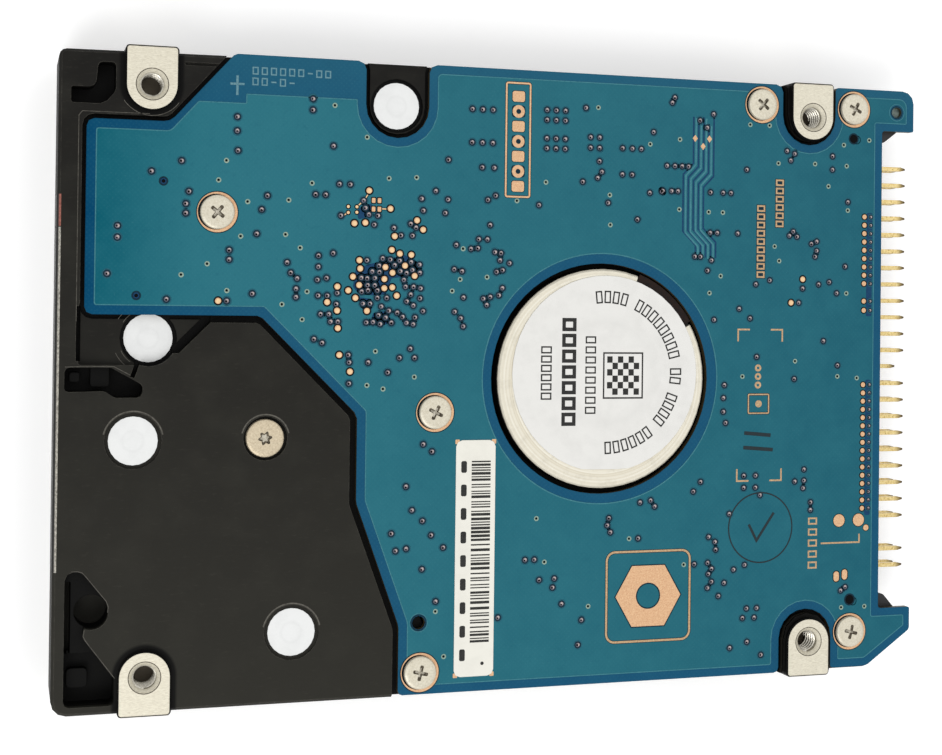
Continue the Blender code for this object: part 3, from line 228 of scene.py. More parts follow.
class Shape:
    """Faces collected in drawing millimetres, with heights from a base, then made into one piece."""

    def __init__(self, base=0.0):
        self.base = base
        self.verts = []
        self.faces = []
        self.slots = []

    def add(self, verts, faces, slot=0):
        first = len(self.verts)
        self.verts += verts
        self.faces += [[first + i for i in face] for face in faces]
        self.slots += [slot] * len(faces)

    def loft(self, rings, caps=(True, True), closed=False):
        """A skin through rings of points, capped at both ends unless it closes on itself."""
        n, count = len(rings[0]), len(rings)
        faces = []
        for k in range(count if closed else count - 1):
            here, after = k * n, (k + 1) % count * n
            for i in range(n):
                j = (i + 1) % n
                faces.append([here + i, here + j, after + j, after + i])
        if caps[0] and not closed:
            faces.append(list(range(n))[::-1])
        if caps[1] and not closed:
            faces.append([(count - 1) * n + i for i in range(n)])
        self.add([point for ring in rings for point in ring], faces)

    def disc(self, centre, radius, z0, z1, steps=14):
        """A low disc with a slightly rounded rim."""
        edge = min(radius * 0.2, (z1 - z0) * 0.7)
        levels = ((radius, z0), (radius, z1 - edge * 0.5), (radius - edge, z1))
        self.loft([[(x, y, z) for x, y in circle(centre, r, steps)] for r, z in levels])

    def ring(self, centre, r0, r1, z0, z1, steps=24):
        """A low ring with slightly rounded rims."""
        edge = min((r1 - r0) * 0.2, (z1 - z0) * 0.7)
        profile = ((r0, z0), (r1, z0), (r1, z1 - edge), (r1 - edge, z1), (r0 + edge, z1), (r0, z1 - edge))
        n = len(profile)
        verts = []
        faces = []
        for i in range(steps):
            verts += [(*polar(centre, r, 2 * pi * i / steps), z) for r, z in profile]
            here, after = i * n, (i + 1) % steps * n
            for k in range(n):
                m = (k + 1) % n
                faces.append([here + k, after + k, after + m, here + m])
        self.add(verts, faces)

    def slab(self, outline, z0, z1, holes=()):
        """An outline with holes, given thickness."""
        loops = [outline, *holes]
        flat = [point for loop in loops for point in loop]
        count = len(flat)
        faces = []
        for tri in filled(loops):
            faces.append([count + i for i in tri])
            faces.append(tri[::-1])
        first = 0
        for loop in loops:
            n = len(loop)
            area = sum(loop[i - 1][0] * loop[i][1] - loop[i][0] * loop[i - 1][1] for i in range(n))
            inward = (area > 0) != (loop is outline)
            for i in range(n):
                a, b = first + i, first + (i + 1) % n
                quad = [a, b, count + b, count + a]
                faces.append(quad[::-1] if inward else quad)
            first += n
        self.add([(x, y, z0) for x, y in flat] + [(x, y, z1) for x, y in flat], faces)

    def stroke(self, points, width, z0, z1, closed=False):
        """A line of even width with mitred corners."""
        n = len(points)
        rings = []
        for i, point in enumerate(points):
            here = Vector(point)
            before = Vector(points[i - 1]) if closed or i else None
            after = Vector(points[(i + 1) % n]) if closed or i < n - 1 else None
            arriving = ((here - before) if before else (after - here)).normalized()
            leaving = (after - here).normalized() if after else arriving
            normal = Vector((-arriving.y - leaving.y, arriving.x + leaving.x))
            offset = normal * (width / normal.length_squared)
            left, right = here + offset, here - offset
            rings.append([(*right, z0), (*left, z0), (*left, z1), (*right, z1)])
        self.loft(rings, closed=closed)

    def arc(self, centre, radius, degrees, width, z0, z1):
        """A line of even width along part of a circle, with a point at each of the degrees."""
        self.stroke([polar(centre, radius, radians(a)) for a in degrees], width, z0, z1)

    def box(self, x0, y0, x1, y1, z0, z1, r=0.0):
        """A slab over a rectangle whose corners have radius r."""
        self.slab(fillet(box_corners(x0, y0, x1, y1, r)), z0, z1)

    def pad(self, centre, half_x, half_y, z0, z1, r):
        """A slab over a rounded rectangle about its centre."""
        x, y = centre
        self.box(x - half_x, y - half_y, x + half_x, y + half_y, z0, z1, r)

    def box_line(self, x0, y0, x1, y1, width, z0, z1, r=0.0):
        """A line of even width along a rectangle."""
        self.stroke(fillet(box_corners(x0, y0, x1, y1, r)), width, z0, z1, closed=True)

    def blank(self, x0, y0, x1, y1, width, z0, z1):
        """An empty box that fills the rectangle where a printed character would stand."""
        d = width / 2
        self.box_line(x0 + d, y0 + d, x1 - d, y1 - d, width, z0, z1)

    def piece(self, name, *looks, body="drive", slot="solder_mask", smooth=None):
        """The finished piece; smooth shades it up to that angle, and a body of None leaves it free."""
        mesh = bpy.data.meshes.new(name)
        mesh.from_pydata([at(x, y, self.base + z) for x, y, z in self.verts], [], self.faces)
        for look in looks:
            mesh.materials.append(M[look])
        mesh.polygons.foreach_set("material_index", self.slots)
        if smooth:
            mesh.shade_smooth()
            mesh.set_sharp_from_angle(angle=radians(smooth))
        mesh.update()
        obj = bpy.data.objects.new(name, mesh)
        bpy.context.scene.collection.objects.link(obj)
        if body:
            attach(obj, body)
        return obj


# ------------------------------------------------------------------ node materials
class Surface:
    """A node material under construction. A texture scale of 1 is one feature a millimetre."""

    def __init__(self, name, colour, roughness, metallic=0.0, specular=0.5):
        self.material = bpy.data.materials.new(name)
        self.material.use_nodes = True
        self.nodes = self.material.node_tree.nodes
        self.shader = self.nodes["Principled BSDF"]
        coords = self.nodes.new("ShaderNodeTexCoord")
        self.mm = self.vector("SCALE", coords.outputs["Object"], scale=1000)
        self.generated = coords.outputs["Generated"]
        self.put("Base Color", colour)
        self.put("Roughness", roughness)
        self.put("Metallic", metallic)
        self.put("Specular IOR Level", specular)

    def feed(self, socket, value):
        if isinstance(value, bpy.types.NodeSocket):
            self.material.node_tree.links.new(value, socket)
        elif isinstance(value, tuple) and len(value) == 3 and socket.type == "RGBA":
            socket.default_value = (*value, 1)
        else:
            socket.default_value = value

    def put(self, name, value):
        self.feed(self.shader.inputs[name], value)

    def node(self, kind, *values, **settings):
        """A new node with its settings and, in order, the values of its inputs."""
        node = self.nodes.new("ShaderNode" + kind)
        for name, setting in settings.items():
            setattr(node, name, setting)
        for socket, value in zip(node.inputs, values):
            self.feed(socket, value)
        return node

    def vector(self, operation, *values, scale=None):
        node = self.node("VectorMath", *values, operation=operation)
        if scale is not None:
            node.inputs["Scale"].default_value = scale
        return node.outputs["Value" if operation in ("LENGTH", "DOT_PRODUCT") else "Vector"]

    def math(self, operation, *values):
        return self.node("Math", *values, operation=operation).outputs[0]

    times = partialmethod(math, "MULTIPLY")
    plus = partialmethod(math, "ADD")
    minus = partialmethod(math, "SUBTRACT")
    size = partialmethod(math, "ABSOLUTE")
    above = partialmethod(math, "GREATER_THAN")
    below = partialmethod(math, "LESS_THAN")
    larger = partialmethod(math, "MAXIMUM")

    def axes(self, vector=None):
        return self.node("SeparateXYZ", vector or self.mm).outputs

    def join(self, *values):
        return self.node("CombineXYZ", *values).outputs[0]

    def noise(self, scale, detail=2.0, rough=0.5, vector=None):
        node = self.node("TexNoise", vector or self.mm)
        for name, value in (("Scale", scale), ("Detail", detail), ("Roughness", rough)):
            node.inputs[name].default_value = value
        return node.outputs[0]

    def cells(self, scale):
        node = self.node("TexVoronoi", self.mm)
        node.inputs["Scale"].default_value = scale
        return node.outputs["Distance"]

    def stretch(self, *factors):
        """Coordinates scaled along each axis, for brushed or fibrous textures."""
        return self.vector("MULTIPLY", self.mm, factors)

    def span(self, value, low, high, to_low=0.0, to_high=1.0):
        """Maps low..high to to_low..to_high, clamped."""
        return self.node("MapRange", value, low, high, to_low, to_high).outputs[0]

    def mix(self, factor, a, b):
        node = self.node("Mix", factor, data_type="RGBA")
        self.feed(node.inputs[6], a)
        self.feed(node.inputs[7], b)
        return node.outputs[2]

    def tint(self, tone, colour, value, low, high, amount=1.0):
        """The tone, turned into a colour by up to amount as value runs from low to high."""
        return self.mix(self.span(value, low, high, 0, amount), tone, colour)

    def blend(self, factor, a, b):
        node = self.node("Mix", factor)
        self.feed(node.inputs[2], a)
        self.feed(node.inputs[3], b)
        return node.outputs[0]

    def bump(self, height, distance, strength, normal=None):
        """Surface relief; distance is in millimetres."""
        node = self.node("Bump", strength)
        self.feed(node.inputs["Height"], height)
        node.inputs["Distance"].default_value = distance / 1000
        if normal is not None:
            self.feed(node.inputs["Normal"], normal)
        self.put("Normal", node.outputs[0])

    def finish(self, colour, uneven, smoothest, roughest, relief, *bump):
        """Sets the colour, a roughness that follows a texture, and the relief; gives the material."""
        self.put("Base Color", colour)
        self.put("Roughness", self.span(uneven, 0.3, 0.7, smoothest, roughest))
        self.bump(relief, *bump)
        return self.material

    def surface_normal(self):
        return self.node("NewGeometry").outputs["Normal"]

    def rounded(self, radius):
        """A normal that rounds every edge, and a factor that is 1 along the edges."""
        node = self.node("Bevel", radius / 1000, samples=4)
        turned = self.vector("DOT_PRODUCT", node.outputs[0], self.surface_normal())
        return node.outputs[0], self.span(turned, 0.995, 0.85)


def rgb(r, g, b):
    """A colour given by its display values, 0 to 255, as linear light."""
    return tuple(v / 3294.6 if v < 10.3 else ((v / 255 + 0.055) / 1.055) ** 2.4 for v in (r, g, b))


def darker(colour, share):
    """A share of a colour's light."""
    return tuple(v * share for v in colour)


WHITE = (1.0, 1.0, 1.0)
BLACK = (0.0, 0.0, 0.0)
PAD_MIDDLE_X = (PADS[0][0] + PADS[2][0]) / 2 - LENGTH / 2
PAD_SPAN_X = (PADS[2][0] - PADS[0][0]) / 2
PAD_SPAN_Y = (PADS[1][1] - PADS[0][1]) / 2
PAD_HOLE = 1.70  # radius, with its chamfer
PAD_SHADOW = 3.45  # radius of the painted shadow round a pad


def black_coat():
    """Electro-coated casting: a fine grain, edges rubbed grey, and bare metal on the mounting pads."""
    s = Surface("black_coat", BLACK, 0.5)
    x, y, z = s.axes()
    edge_normal, edge = s.rounded(0.12)
    over_x = s.minus(s.size(s.minus(x, PAD_MIDDLE_X)), PAD_SPAN_X)  # from the nearest pad's hole
    over_y = s.minus(s.size(y), PAD_SPAN_Y)
    from_hole = s.vector("LENGTH", s.join(over_x, over_y))
    from_pad = s.vector("LENGTH", s.join(over_x, s.math("MINIMUM", over_y, 0.0)))

    # painted light: the coat is lighter towards -y and darker towards +y, as the light falls across it
    tone = s.tint(rgb(44, 43, 38), rgb(25, 24, 22), y, -35, 35)
    tone = s.tint(tone, rgb(56, 55, 49), s.noise(0.25, 4), 0.45, 0.7, 0.22)
    streaks = s.noise(2.6, 4, 0.75, s.stretch(0.35, 1.4, 1))  # along x
    tone = s.tint(tone, rgb(66, 64, 57), streaks, 0.58, 0.75, 0.3)
    # painted shade: the coat darkens towards black the deeper it lies in a recess
    recess_shade = s.larger(s.span(z, 8.45, 7.4), s.span(z, 8.07, 7.95))  # dark in the recesses
    tone = s.mix(s.times(s.times(recess_shade, s.above(z, 5.4)), 0.92), tone, rgb(3, 3, 3))
    worn = s.times(edge, s.span(s.noise(1.4, 4, 0.7), 0.4, 0.6, 0.2, 1.0))
    tone = s.mix(s.times(s.times(worn, s.span(z, 8.3, 8.7)), 0.5), tone, rgb(122, 119, 110))
    # painted shade: the coat round each mounting pad is darkened almost to black
    pad_shade = s.times(s.span(from_pad, PAD_SHADOW, PAD_SHADOW - 0.3, 0, 0.9), s.above(z, 8.6))
    tone = s.mix(pad_shade, tone, rgb(2, 2, 2))

    in_hole = s.below(from_hole, PAD_HOLE)
    on_pad = s.above(z, PAD_Z - 0.02)
    beside_pad = s.times(s.above(s.size(y), WIDTH / 2 - 0.02), s.above(z, SIDE_PAD_FOOT))
    bare = s.larger(s.larger(on_pad, in_hole), beside_pad)
    milled = s.noise(3, 5, 0.7, s.stretch(1.0, 5.0, 1.0))
    alloy = s.tint(rgb(208, 201, 181), rgb(242, 237, 219), milled, 0.35, 0.7)
    alloy = s.tint(alloy, rgb(150, 140, 118), s.noise(2.2, 4, 0.75), 0.6, 0.75, 0.4)
    alloy = s.tint(alloy, rgb(120, 110, 92), s.noise(5, 4, 0.8), 0.66, 0.72, 0.5)
    # painted shade: the walls of the pad holes darken with depth
    alloy = s.mix(s.times(in_hole, s.span(z, 9.3, 8.3)), alloy, rgb(112, 103, 88))
    # painted shade: a thin dark line along the edge of each pad hole's countersink
    lip = s.times(s.below(s.size(s.minus(from_hole, PAD_HOLE - 0.04)), 0.05), on_pad)
    alloy = s.mix(lip, alloy, rgb(70, 62, 48))

    grain = s.noise(11, 3, 0.6)
    s.put("Base Color", s.mix(bare, tone, alloy))
    s.put("Metallic", s.times(bare, 0.35))
    coat_roughness = s.span(grain, 0.3, 0.7, 0.45, 0.65)
    s.put("Roughness", s.blend(bare, coat_roughness, s.span(milled, 0.3, 0.7, 0.4, 0.65)))
    s.put("Specular IOR Level", s.blend(bare, 0.1, 0.4))
    rough = s.plus(s.times(grain, 0.7), s.times(s.cells(5), 0.3))
    s.bump(s.blend(bare, rough, milled), 0.02, 0.45, edge_normal)
    return s.material


def solder_mask(name, pour):
    """Glossy blue-green lacquer, paler and greyer over the copper pour than over the bare laminate."""
    s = Surface(name, BLACK, 0.35)
    x, y, _ = s.axes()
    if pour:
        tone = s.tint(rgb(0, 86, 103), rgb(38, 109, 123), x, -47.5, -36)
        tone = s.tint(tone, rgb(30, 99, 114), x, -26, -8, 0.8)
        tone = s.tint(tone, rgb(21, 90, 107), x, 5, 48, 0.9)
    else:
        tone = s.tint(rgb(0, 66, 102), rgb(12, 78, 110), x, -48, -30)
        tone = s.tint(tone, rgb(30, 92, 114), y, 26, 34, 0.6)
    cloudy = s.noise(0.3, 4, 0.6)
    weave = s.times(s.math("SINE", s.times(x, 11.0)), s.math("SINE", s.times(y, 11.0)))
    tone = s.tint(tone, rgb(44, 115, 128) if pour else rgb(24, 92, 120), cloudy, 0.35, 0.7, 0.3)
    tone = s.tint(tone, rgb(70, 140, 150), weave, 0.2, 1.0, 0.06)
    tone = s.tint(tone, rgb(86, 140, 148), s.noise(5, 3, 0.7), 0.64, 0.74, 0.25)
    murk = s.noise(1.3, 4, 0.7)
    tone = s.tint(tone, rgb(14, 82, 102) if pour else rgb(0, 60, 92), murk, 0.55, 0.75, 0.25)
    if not pour:  # the board's cut edge shows its glass fibres
        side = s.below(s.size(s.axes(s.surface_normal())[2]), 0.5)
        laminate = s.mix(s.noise(2, 3, 0.7, s.stretch(1, 1, 9)), rgb(48, 40, 28), rgb(86, 76, 52))
        tone = s.mix(side, tone, laminate)
    s.put("Specular IOR Level", s.span(x, -50, -30, 0.02, 0.12))
    relief = s.plus(s.times(weave, 0.12), s.noise(4, 3))
    return s.finish(tone, cloudy, 0.3, 0.44, relief, 0.012, 0.35, s.rounded(0.04 if pour else 0.12)[0])


def bright_metal(name, low, high, roughness=0.35, grain=4.0, wear=0.25, metallic=0.85, edge=0.08):
    """Plated or bare metal with fine scratches, dull patches and a painted highlight along its edges."""
    low, high = rgb(*low), rgb(*high)
    s = Surface(name, low, roughness, metallic)
    scratches = s.noise(grain * 3, 2, 0.6, s.stretch(1, 6, 1))
    edge_normal, rim = s.rounded(edge)
    tone = s.tint(low, high, s.noise(grain, 4, 0.65), 0.3, 0.7)
    tone = s.tint(tone, darker(low, 0.35), s.noise(grain * 0.6, 4, 0.7), 0.55, 0.75, wear)
    # painted highlight along the rounded edges
    tone = s.mix(s.times(rim, 0.4), tone, high)
    return s.finish(tone, scratches, roughness - 0.08, roughness + 0.12, scratches, 0.01, 0.3, edge_normal)


def turned_metal(name, centre, low, high, roughness=0.3, pitch=5.0, metallic=0.8, shaded_below=0.0):
    """Metal turned on a lathe, with fine rings about a centre; painted shade below a height, if one is given.
    """
    low, high = rgb(*low), rgb(*high)
    s = Surface(name, low, roughness, metallic)
    x, y, z = s.axes()
    place = at(*centre, 0) * 1000
    radius = s.vector("LENGTH", s.join(s.minus(x, place.x), s.minus(y, place.y)))
    rings = s.noise(pitch, 4, 0.7, s.join(radius, 0.0, s.times(z, 0.7)))
    tone = s.tint(low, high, rings, 0.3, 0.7)
    tone = s.tint(tone, darker(low, 0.5), s.noise(0.7, 4, 0.7), 0.5, 0.8, 0.35)
    if shaded_below:
        tone = s.tint(tone, rgb(10, 10, 9), z, shaded_below, shaded_below - 0.4)
    return s.finish(tone, rings, roughness - 0.05, roughness + 0.15, rings, 0.02, 0.3, s.rounded(0.1)[0])


def dull(name, low, high, roughness=0.55, grain=4.0, relief=0.02, specular=0.4, stretch=None):
    """Plastic, rubber, resin or ink: a mottled colour, uneven roughness, and a fine relief."""
    low, high = rgb(*low), rgb(*high)
    s = Surface(name, low, roughness, 0.0, specular)
    fine = s.noise(grain, 4, 0.65, stretch and s.stretch(*stretch))
    tone = s.tint(low, high, fine, 0.3, 0.7)
    tone = s.tint(tone, high, s.noise(grain * 0.15, 3, 0.6), 0.4, 0.7, 0.4)
    return s.finish(tone, fine, roughness - 0.08, roughness + 0.1, fine, relief, 0.5, s.rounded(0.08)[0])


def paper(name, tone, grain=7.0, ring=0.0):
    """Label stock: faint fibres and creases; ring adds the mark of a round edge pressed from below, its
    trough darkened by painted shade.
    """
    tone = rgb(*tone)
    shade = darker(tone, 0.86)
    s = Surface(name, tone, 0.55, 0.0, 0.3)
    fibres = s.noise(grain, 5, 0.7)
    stains = s.noise(0.5, 4, 0.6)
    colour = s.tint(tone, shade, stains, 0.45, 0.75, 0.5)
    colour = s.tint(colour, shade, fibres, 0.55, 0.75, 0.35)
    height = s.plus(s.times(fibres, 0.5), s.times(stains, 3.0))
    if ring:
        middle = s.vector("SUBTRACT", s.generated, (0.5, 0.5, 0.0))
        radius = s.vector("LENGTH", s.vector("MULTIPLY", middle, (2.0, 2.0, 0.0)))
        trough = s.span(s.size(s.minus(radius, ring)), 0.0, 0.1, 1.0, 0.0)
        # painted shade in the trough of the pressed ring
        colour = s.mix(s.times(trough, 0.3), colour, shade)
        height = s.minus(height, s.times(trough, 1.5))
    return s.finish(colour, fibres, 0.45, 0.65, height, 0.012, 0.5, s.rounded(0.05)[0])


def brushed_cover():
    """Stamped stainless sheet: long brush lines, light smudges, and a painted highlight along the edges."""
    s = Surface("brushed_cover", BLACK, 0.3, 0.85)
    lines = s.noise(1.2, 5, 0.75, s.stretch(0.25, 14, 1))
    smudges = s.noise(0.16, 5, 0.6)
    edge_normal, rim = s.rounded(0.25)
    tone = s.tint(rgb(176, 176, 172), rgb(214, 213, 208), lines, 0.3, 0.7)
    tone = s.tint(tone, rgb(150, 149, 144), smudges, 0.45, 0.7, 0.4)
    # painted highlight along the rounded edges
    s.put("Base Color", s.mix(s.times(rim, 0.35), tone, rgb(235, 234, 230)))
    s.put("Roughness", s.plus(s.span(lines, 0.3, 0.7, 0.22, 0.36), s.span(smudges, 0.4, 0.7, 0.0, 0.12)))
    s.bump(lines, 0.012, 0.35, edge_normal)
    return s.material


def edge_tape(name, low, high):
    """Tape whose face on the closed end is painted dark as shade, and whose lap over the casting's edge shows
    its colour.
    """
    s = Surface(name, BLACK, 0.45, 0.0, 0.3)
    flakes = s.noise(4, 4, 0.8, s.stretch(2, 1, 1))
    lap = s.tint(rgb(*low), rgb(*high), flakes, 0.35, 0.65)
    # painted shade: the tape's face on the closed end is near black
    tone = s.mix(s.span(s.axes()[0], -49.86, -49.78), rgb(20, 20, 18), lap)
    return s.finish(tone, flakes, 0.35, 0.6, flakes, 0.02, 0.5)


def layered(name, low, high, pitch):
    """Stacked sheets or wound wire: fine parallel lines, one above the other."""
    low, high = rgb(*low), rgb(*high)
    s = Surface(name, low, 0.35, 0.8)
    wave = s.math("SINE", s.times(s.axes()[2], 2 * pi / pitch))
    patches = s.noise(3, 4, 0.6)
    tone = s.tint(low, high, wave, -0.6, 0.8)
    tone = s.tint(tone, darker(low, 0.5), patches, 0.5, 0.75, 0.4)
    return s.finish(tone, patches, 0.30, 0.50, s.plus(wave, patches), 0.03, 0.6)


def gold_plate():
    """Gold flash over brass pins, darker towards the tip."""
    s = Surface("gold_plate", BLACK, 0.3, 0.7)
    patches = s.noise(3.5, 4, 0.7)
    tone = s.tint(rgb(206, 172, 96), rgb(252, 234, 176), patches, 0.3, 0.7)
    tone = s.tint(tone, rgb(84, 66, 34), s.axes()[0], 48.6, 49.7)
    return s.finish(tone, patches, 0.24, 0.42, patches, 0.01, 0.3, s.rounded(0.08)[0])


M = {
    "coat": black_coat(),
    "board": solder_mask("board_lacquer", pour=False),
    "pour": solder_mask("pour_lacquer", pour=True),
    "cover": brushed_cover(),
    "steel": bright_metal("bright_steel", (184, 182, 176), (226, 224, 218)),
    "nickel": bright_metal("nickel_screw", (204, 196, 174), (228, 222, 204), 0.4, 5.0, 0.3, 0.3),
    "champagne": bright_metal("champagne_screw", (190, 174, 146), (222, 208, 180), 0.4, 5.0, 0.35, 0.3),
    # painted shade: the recess walls are the screw metal darkened
    "recess": bright_metal("screw_recess_painted_shade", (58, 50, 42), (150, 140, 122), 0.45, 3.0, 0.5, 0.3, 0.05),
    "slot_floor": bright_metal("screw_recess_floor", (150, 142, 122), (226, 220, 204), 0.4, 3.0, 0.3, 0.3),
    "alloy": bright_metal("machined_alloy", (196, 192, 182), (232, 229, 220), 0.4),
    "thread": bright_metal("cut_thread", (170, 165, 152), (236, 232, 220), 0.3, 6.0, 0.5),
    "copper": bright_metal("bare_copper", (206, 156, 116), (236, 196, 152), 0.45, 6.0, 0.25, 0.2, 0.03),
    "solder": bright_metal("solder_dots", (232, 192, 144), (250, 218, 170), 0.45, 5.0, 0.2, 0.1, 0.03),
    "magnet": bright_metal("nickel_magnet", (150, 150, 150), (196, 195, 192), 0.34, 3.0, 0.2),
    "pale": bright_metal("pale_plating", (158, 130, 96), (218, 180, 136), 0.5, 6.0, 0.3, 0.1, 0.03),
    "land": bright_metal("via_land", (66, 76, 94), (122, 112, 122), 0.5, 6.0, 0.4, 0.1, 0.03),
    "glint": bright_metal("via_glint", (156, 144, 146), (200, 184, 178), 0.5, 6.0, 0.3, 0.1, 0.03),
    "tint": bright_metal("tinned_ring", (112, 146, 140), (160, 176, 154), 0.5, 6.0, 0.4, 0.1, 0.03),
    "motor": turned_metal("turned_motor_base", SPINDLE, (212, 203, 180), (240, 236, 222), 0.4, 5.0, 0.25,
                          shaded_below=8.5),
    "hub": turned_metal("turned_hub", SPINDLE, (188, 186, 180), (228, 226, 220)),
    "disk": turned_metal("disk_mirror", SPINDLE, (196, 197, 200), (216, 217, 220), 0.09, 1.2, 1.0),
    "sleeve": turned_metal("turned_sleeve", SPINDLE, (176, 146, 96), (214, 188, 140)),
    "bearing": turned_metal("turned_bearing", PIVOT, (180, 178, 172), (226, 224, 218)),
    "laminations": layered("stator_laminations", (112, 108, 100), (178, 174, 166), 0.2),
    "winding": layered("copper_winding", (150, 74, 36), (214, 128, 72), 0.16),
    "coil": layered("voice_coil_wire", (160, 82, 40), (220, 138, 80), 0.14),
    "gold": gold_plate(),
    "ferrite": dull("bonded_magnet", (50, 48, 46), (80, 77, 73), 0.5, 8.0),
    "black_plastic": dull("black_plastic", (22, 22, 23), (44, 44, 45), 0.5, 6.0),
    "epoxy": dull("moulded_epoxy", (26, 26, 27), (52, 52, 53), 0.6, 12.0),
    "ivory": dull("ivory_plastic", (214, 206, 182), (236, 230, 210), 0.45),
    "rubber": dull("gasket_rubber", (18, 18, 18), (38, 38, 37), 0.8, 5.0, 0.04, 0.2),
    "film": dull("amber_film", (96, 48, 12), (176, 106, 38), 0.32, 1.5, 0.01, 0.5),
    "dark_film": dull("shaded_amber_film", (2, 1, 1), (38, 17, 5), 0.4, 3.0, 0.01, 0.2),
    "insulator": dull("insulator_sheet", (16, 16, 16), (34, 34, 33), 0.5, 1.2, 0.01),
    "felt": dull("filter_felt", (198, 196, 184), (240, 238, 230), 0.9, 9.0, 0.12, 0.1, (1, 1, 3)),
    "plug": dull("grey_plug", (58, 72, 70), (128, 140, 132), 0.5, 1.5),
    # painted highlight on the raised lips round the casting's recesses
    "lip": dull("painted_highlight_lip", (58, 56, 51), (104, 101, 93), 0.5, 3.0, 0.01, 0.2),
    "ink": dull("printed_ink", (24, 24, 24), (56, 56, 54), 0.5, 9.0, 0.004, 0.2),
    "faint_ink": dull("faded_ink", (90, 90, 88), (150, 150, 146), 0.5, 9.0, 0.004, 0.2),
    "marker": dull("marker_ink", (3, 20, 26), (10, 36, 44), 0.5, 3.0, 0.004),
    "halo": dull("lacquer_step", (48, 112, 126), (74, 136, 146), 0.35, 5.0, 0.006, 0.15),
    "swell": dull("via_swell", (20, 74, 92), (44, 104, 120), 0.4, 4.0, 0.006, 0.1),
    # painted shadow: near-black lacquer round raised copper and beside the screw heads
    "painted_shadow": dull("painted_shadow_lacquer", (4, 8, 12), (14, 24, 30), 0.5, 6.0, 0.006, 0.1),
    "blue": dull("bare_laminate", (6, 50, 88), (20, 68, 104), 0.4, 2.0, 0.006, 0.15),
    "barrel": dull("via_barrel", (8, 30, 44), (22, 54, 68), 0.5, 6.0, 0.01, 0.1),
    # near-black discs painted as the shade inside open holes
    "void": dull("open_hole", (4, 4, 6), (12, 12, 14), 0.8, 6.0, 0.01, 0.1),
    "print": dull("board_print", (74, 122, 138), (118, 156, 164), 0.5, 6.0, 0.006, 0.15),
    "label": paper("label_paper", (230, 229, 225)),
    "tag": paper("tag_paper", (234, 232, 222)),
    "motor_paper": paper("motor_label_paper", (230, 229, 225), 7.0, 0.52),
    "seal": paper("seal_foil", (233, 234, 233), 5.0, 0.42),
    "tape": edge_tape("silvered_tape", (96, 92, 84), (206, 202, 190)),
    "red_tape": edge_tape("red_tape", (110, 56, 46), (168, 108, 94)),
}


def numbered(name, count):
    return [f"{name}_{i}" for i in range(1, count + 1)]


NODE_LOOKS = {
    "coat": ("base_casting",),
    "cover": ("top_cover",),
    "rubber": ("cover_gasket", "crash_stop"),
    "label": ("cover_label",),
    "motor_paper": ("motor_label",),
    "tag": ("barcode_label",),
    "seal": numbered("seal", 4),
    "board": ("circuit_board",),
    "insulator": ("board_insulator",),
    "epoxy": ("controller_chip", "motor_driver_chip", "buffer_memory_chip"),
    "steel": ("clock_crystal", "spindle_shaft", "pivot_shaft", "disk_clamp", "flex_bracket",
              "head_suspension_cover_side", "head_suspension_board_side"),
    "nickel": numbered("board_screw", 6) + numbered("cover_screw", 6),
    "champagne": ("pivot_screw", "clamp_screw"),
    "black_plastic": ("head_connector_socket", "connector_housing", "inertia_latch"),
    "gold": ("connector_pins",),
    "motor": ("motor_base",),
    "dark_film": ("motor_flex",),
    "sleeve": ("bearing_sleeve",),
    "laminations": ("stator_core",),
    "winding": ("stator_windings",),
    "hub": ("spindle_hub",),
    "ferrite": ("rotor_magnet",),
    "disk": ("disk_platter",),
    "alloy": ("actuator_arm", "cover_side_yoke", "board_side_yoke"),
    "bearing": ("pivot_bearing",),
    "coil": ("voice_coil",),
    "magnet": ("cover_side_magnet", "board_side_magnet"),
    "ivory": ("load_ramp",),
    "felt": ("breather_filter", "recirculation_filter"),
}
for look, names in NODE_LOOKS.items():
    for name in names:
        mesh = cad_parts[name].data
        mesh.materials.clear()
        mesh.materials.append(M[look])


# ------------------------------------------------------------------ circuit board
POUR_CORNERS = [  # counter-clockwise from the closed end
    (3.8, 42.7, 0.3), (21.5, 42.7, 0.3), (32.7, 31.5, 0.5), (32.7, 21.8, 1.0), (37.6, 8.3, 1.0),
    (37.6, 1.35, 0.3), (81.65, 1.35, 0.3), (81.65, 8.7, 4.34), (90.35, 8.7, 4.34), (90.35, 1.55, 0.2),
    (93.9, 1.55, 0.6), (99.2, 5.2, 0.2), (99.2, 6.5, 0.2), (94.8, 6.5, 0.2), (94.8, 65.6, 0.2),
    (99.05, 65.6, 0.2), (99.05, 68.65, 1.0), (90.4, 68.65, 0.3), (90.4, 61.65, 4.39), (81.6, 61.65, 4.39),
    (81.6, 68.65, 0.3), (40.4, 68.65, 0.5), (40.4, 60.4, 4.49), (31.4, 60.4, 4.49), (31.4, 65.4, 0.1),
    (19.3, 65.4, 0.1), (19.3, 64.4, 0.1), (14.3, 64.4, 0.3), (11.4, 61.15, 0.8), (3.8, 61.15, 0.3),
]
BARE_PATCHES = (  # laminate that shows between the copper: corner radius and corners
    (0.3, ((31.4, 46.9), (32.6, 47.4), (34.8, 48.0), (36.8, 48.6), (38.8, 47.6), (38.8, 46.4),
           (37.1, 46.2), (35.4, 46.0), (34.8, 44.2), (33.2, 44.1), (31.8, 44.2), (31.1, 45.0))),
    (0.2, ((31.8, 43.9), (31.9, 42.9), (32.5, 42.3), (33.3, 42.6), (33.2, 43.7))),
    (0.2, ((33.4, 42.2), (33.1, 41.1), (34.4, 40.8), (35.6, 41.2), (34.8, 42.4))),
    (0.2, ((31.6, 52.3), (32.6, 52.6), (33.3, 53.3), (33.1, 54.1), (32.1, 53.9), (31.5, 53.3))),
)
SMALL_PADS = ((30.5, 53.7), (31.45, 53.7), (30.5, 53.05), (31.45, 53.1))
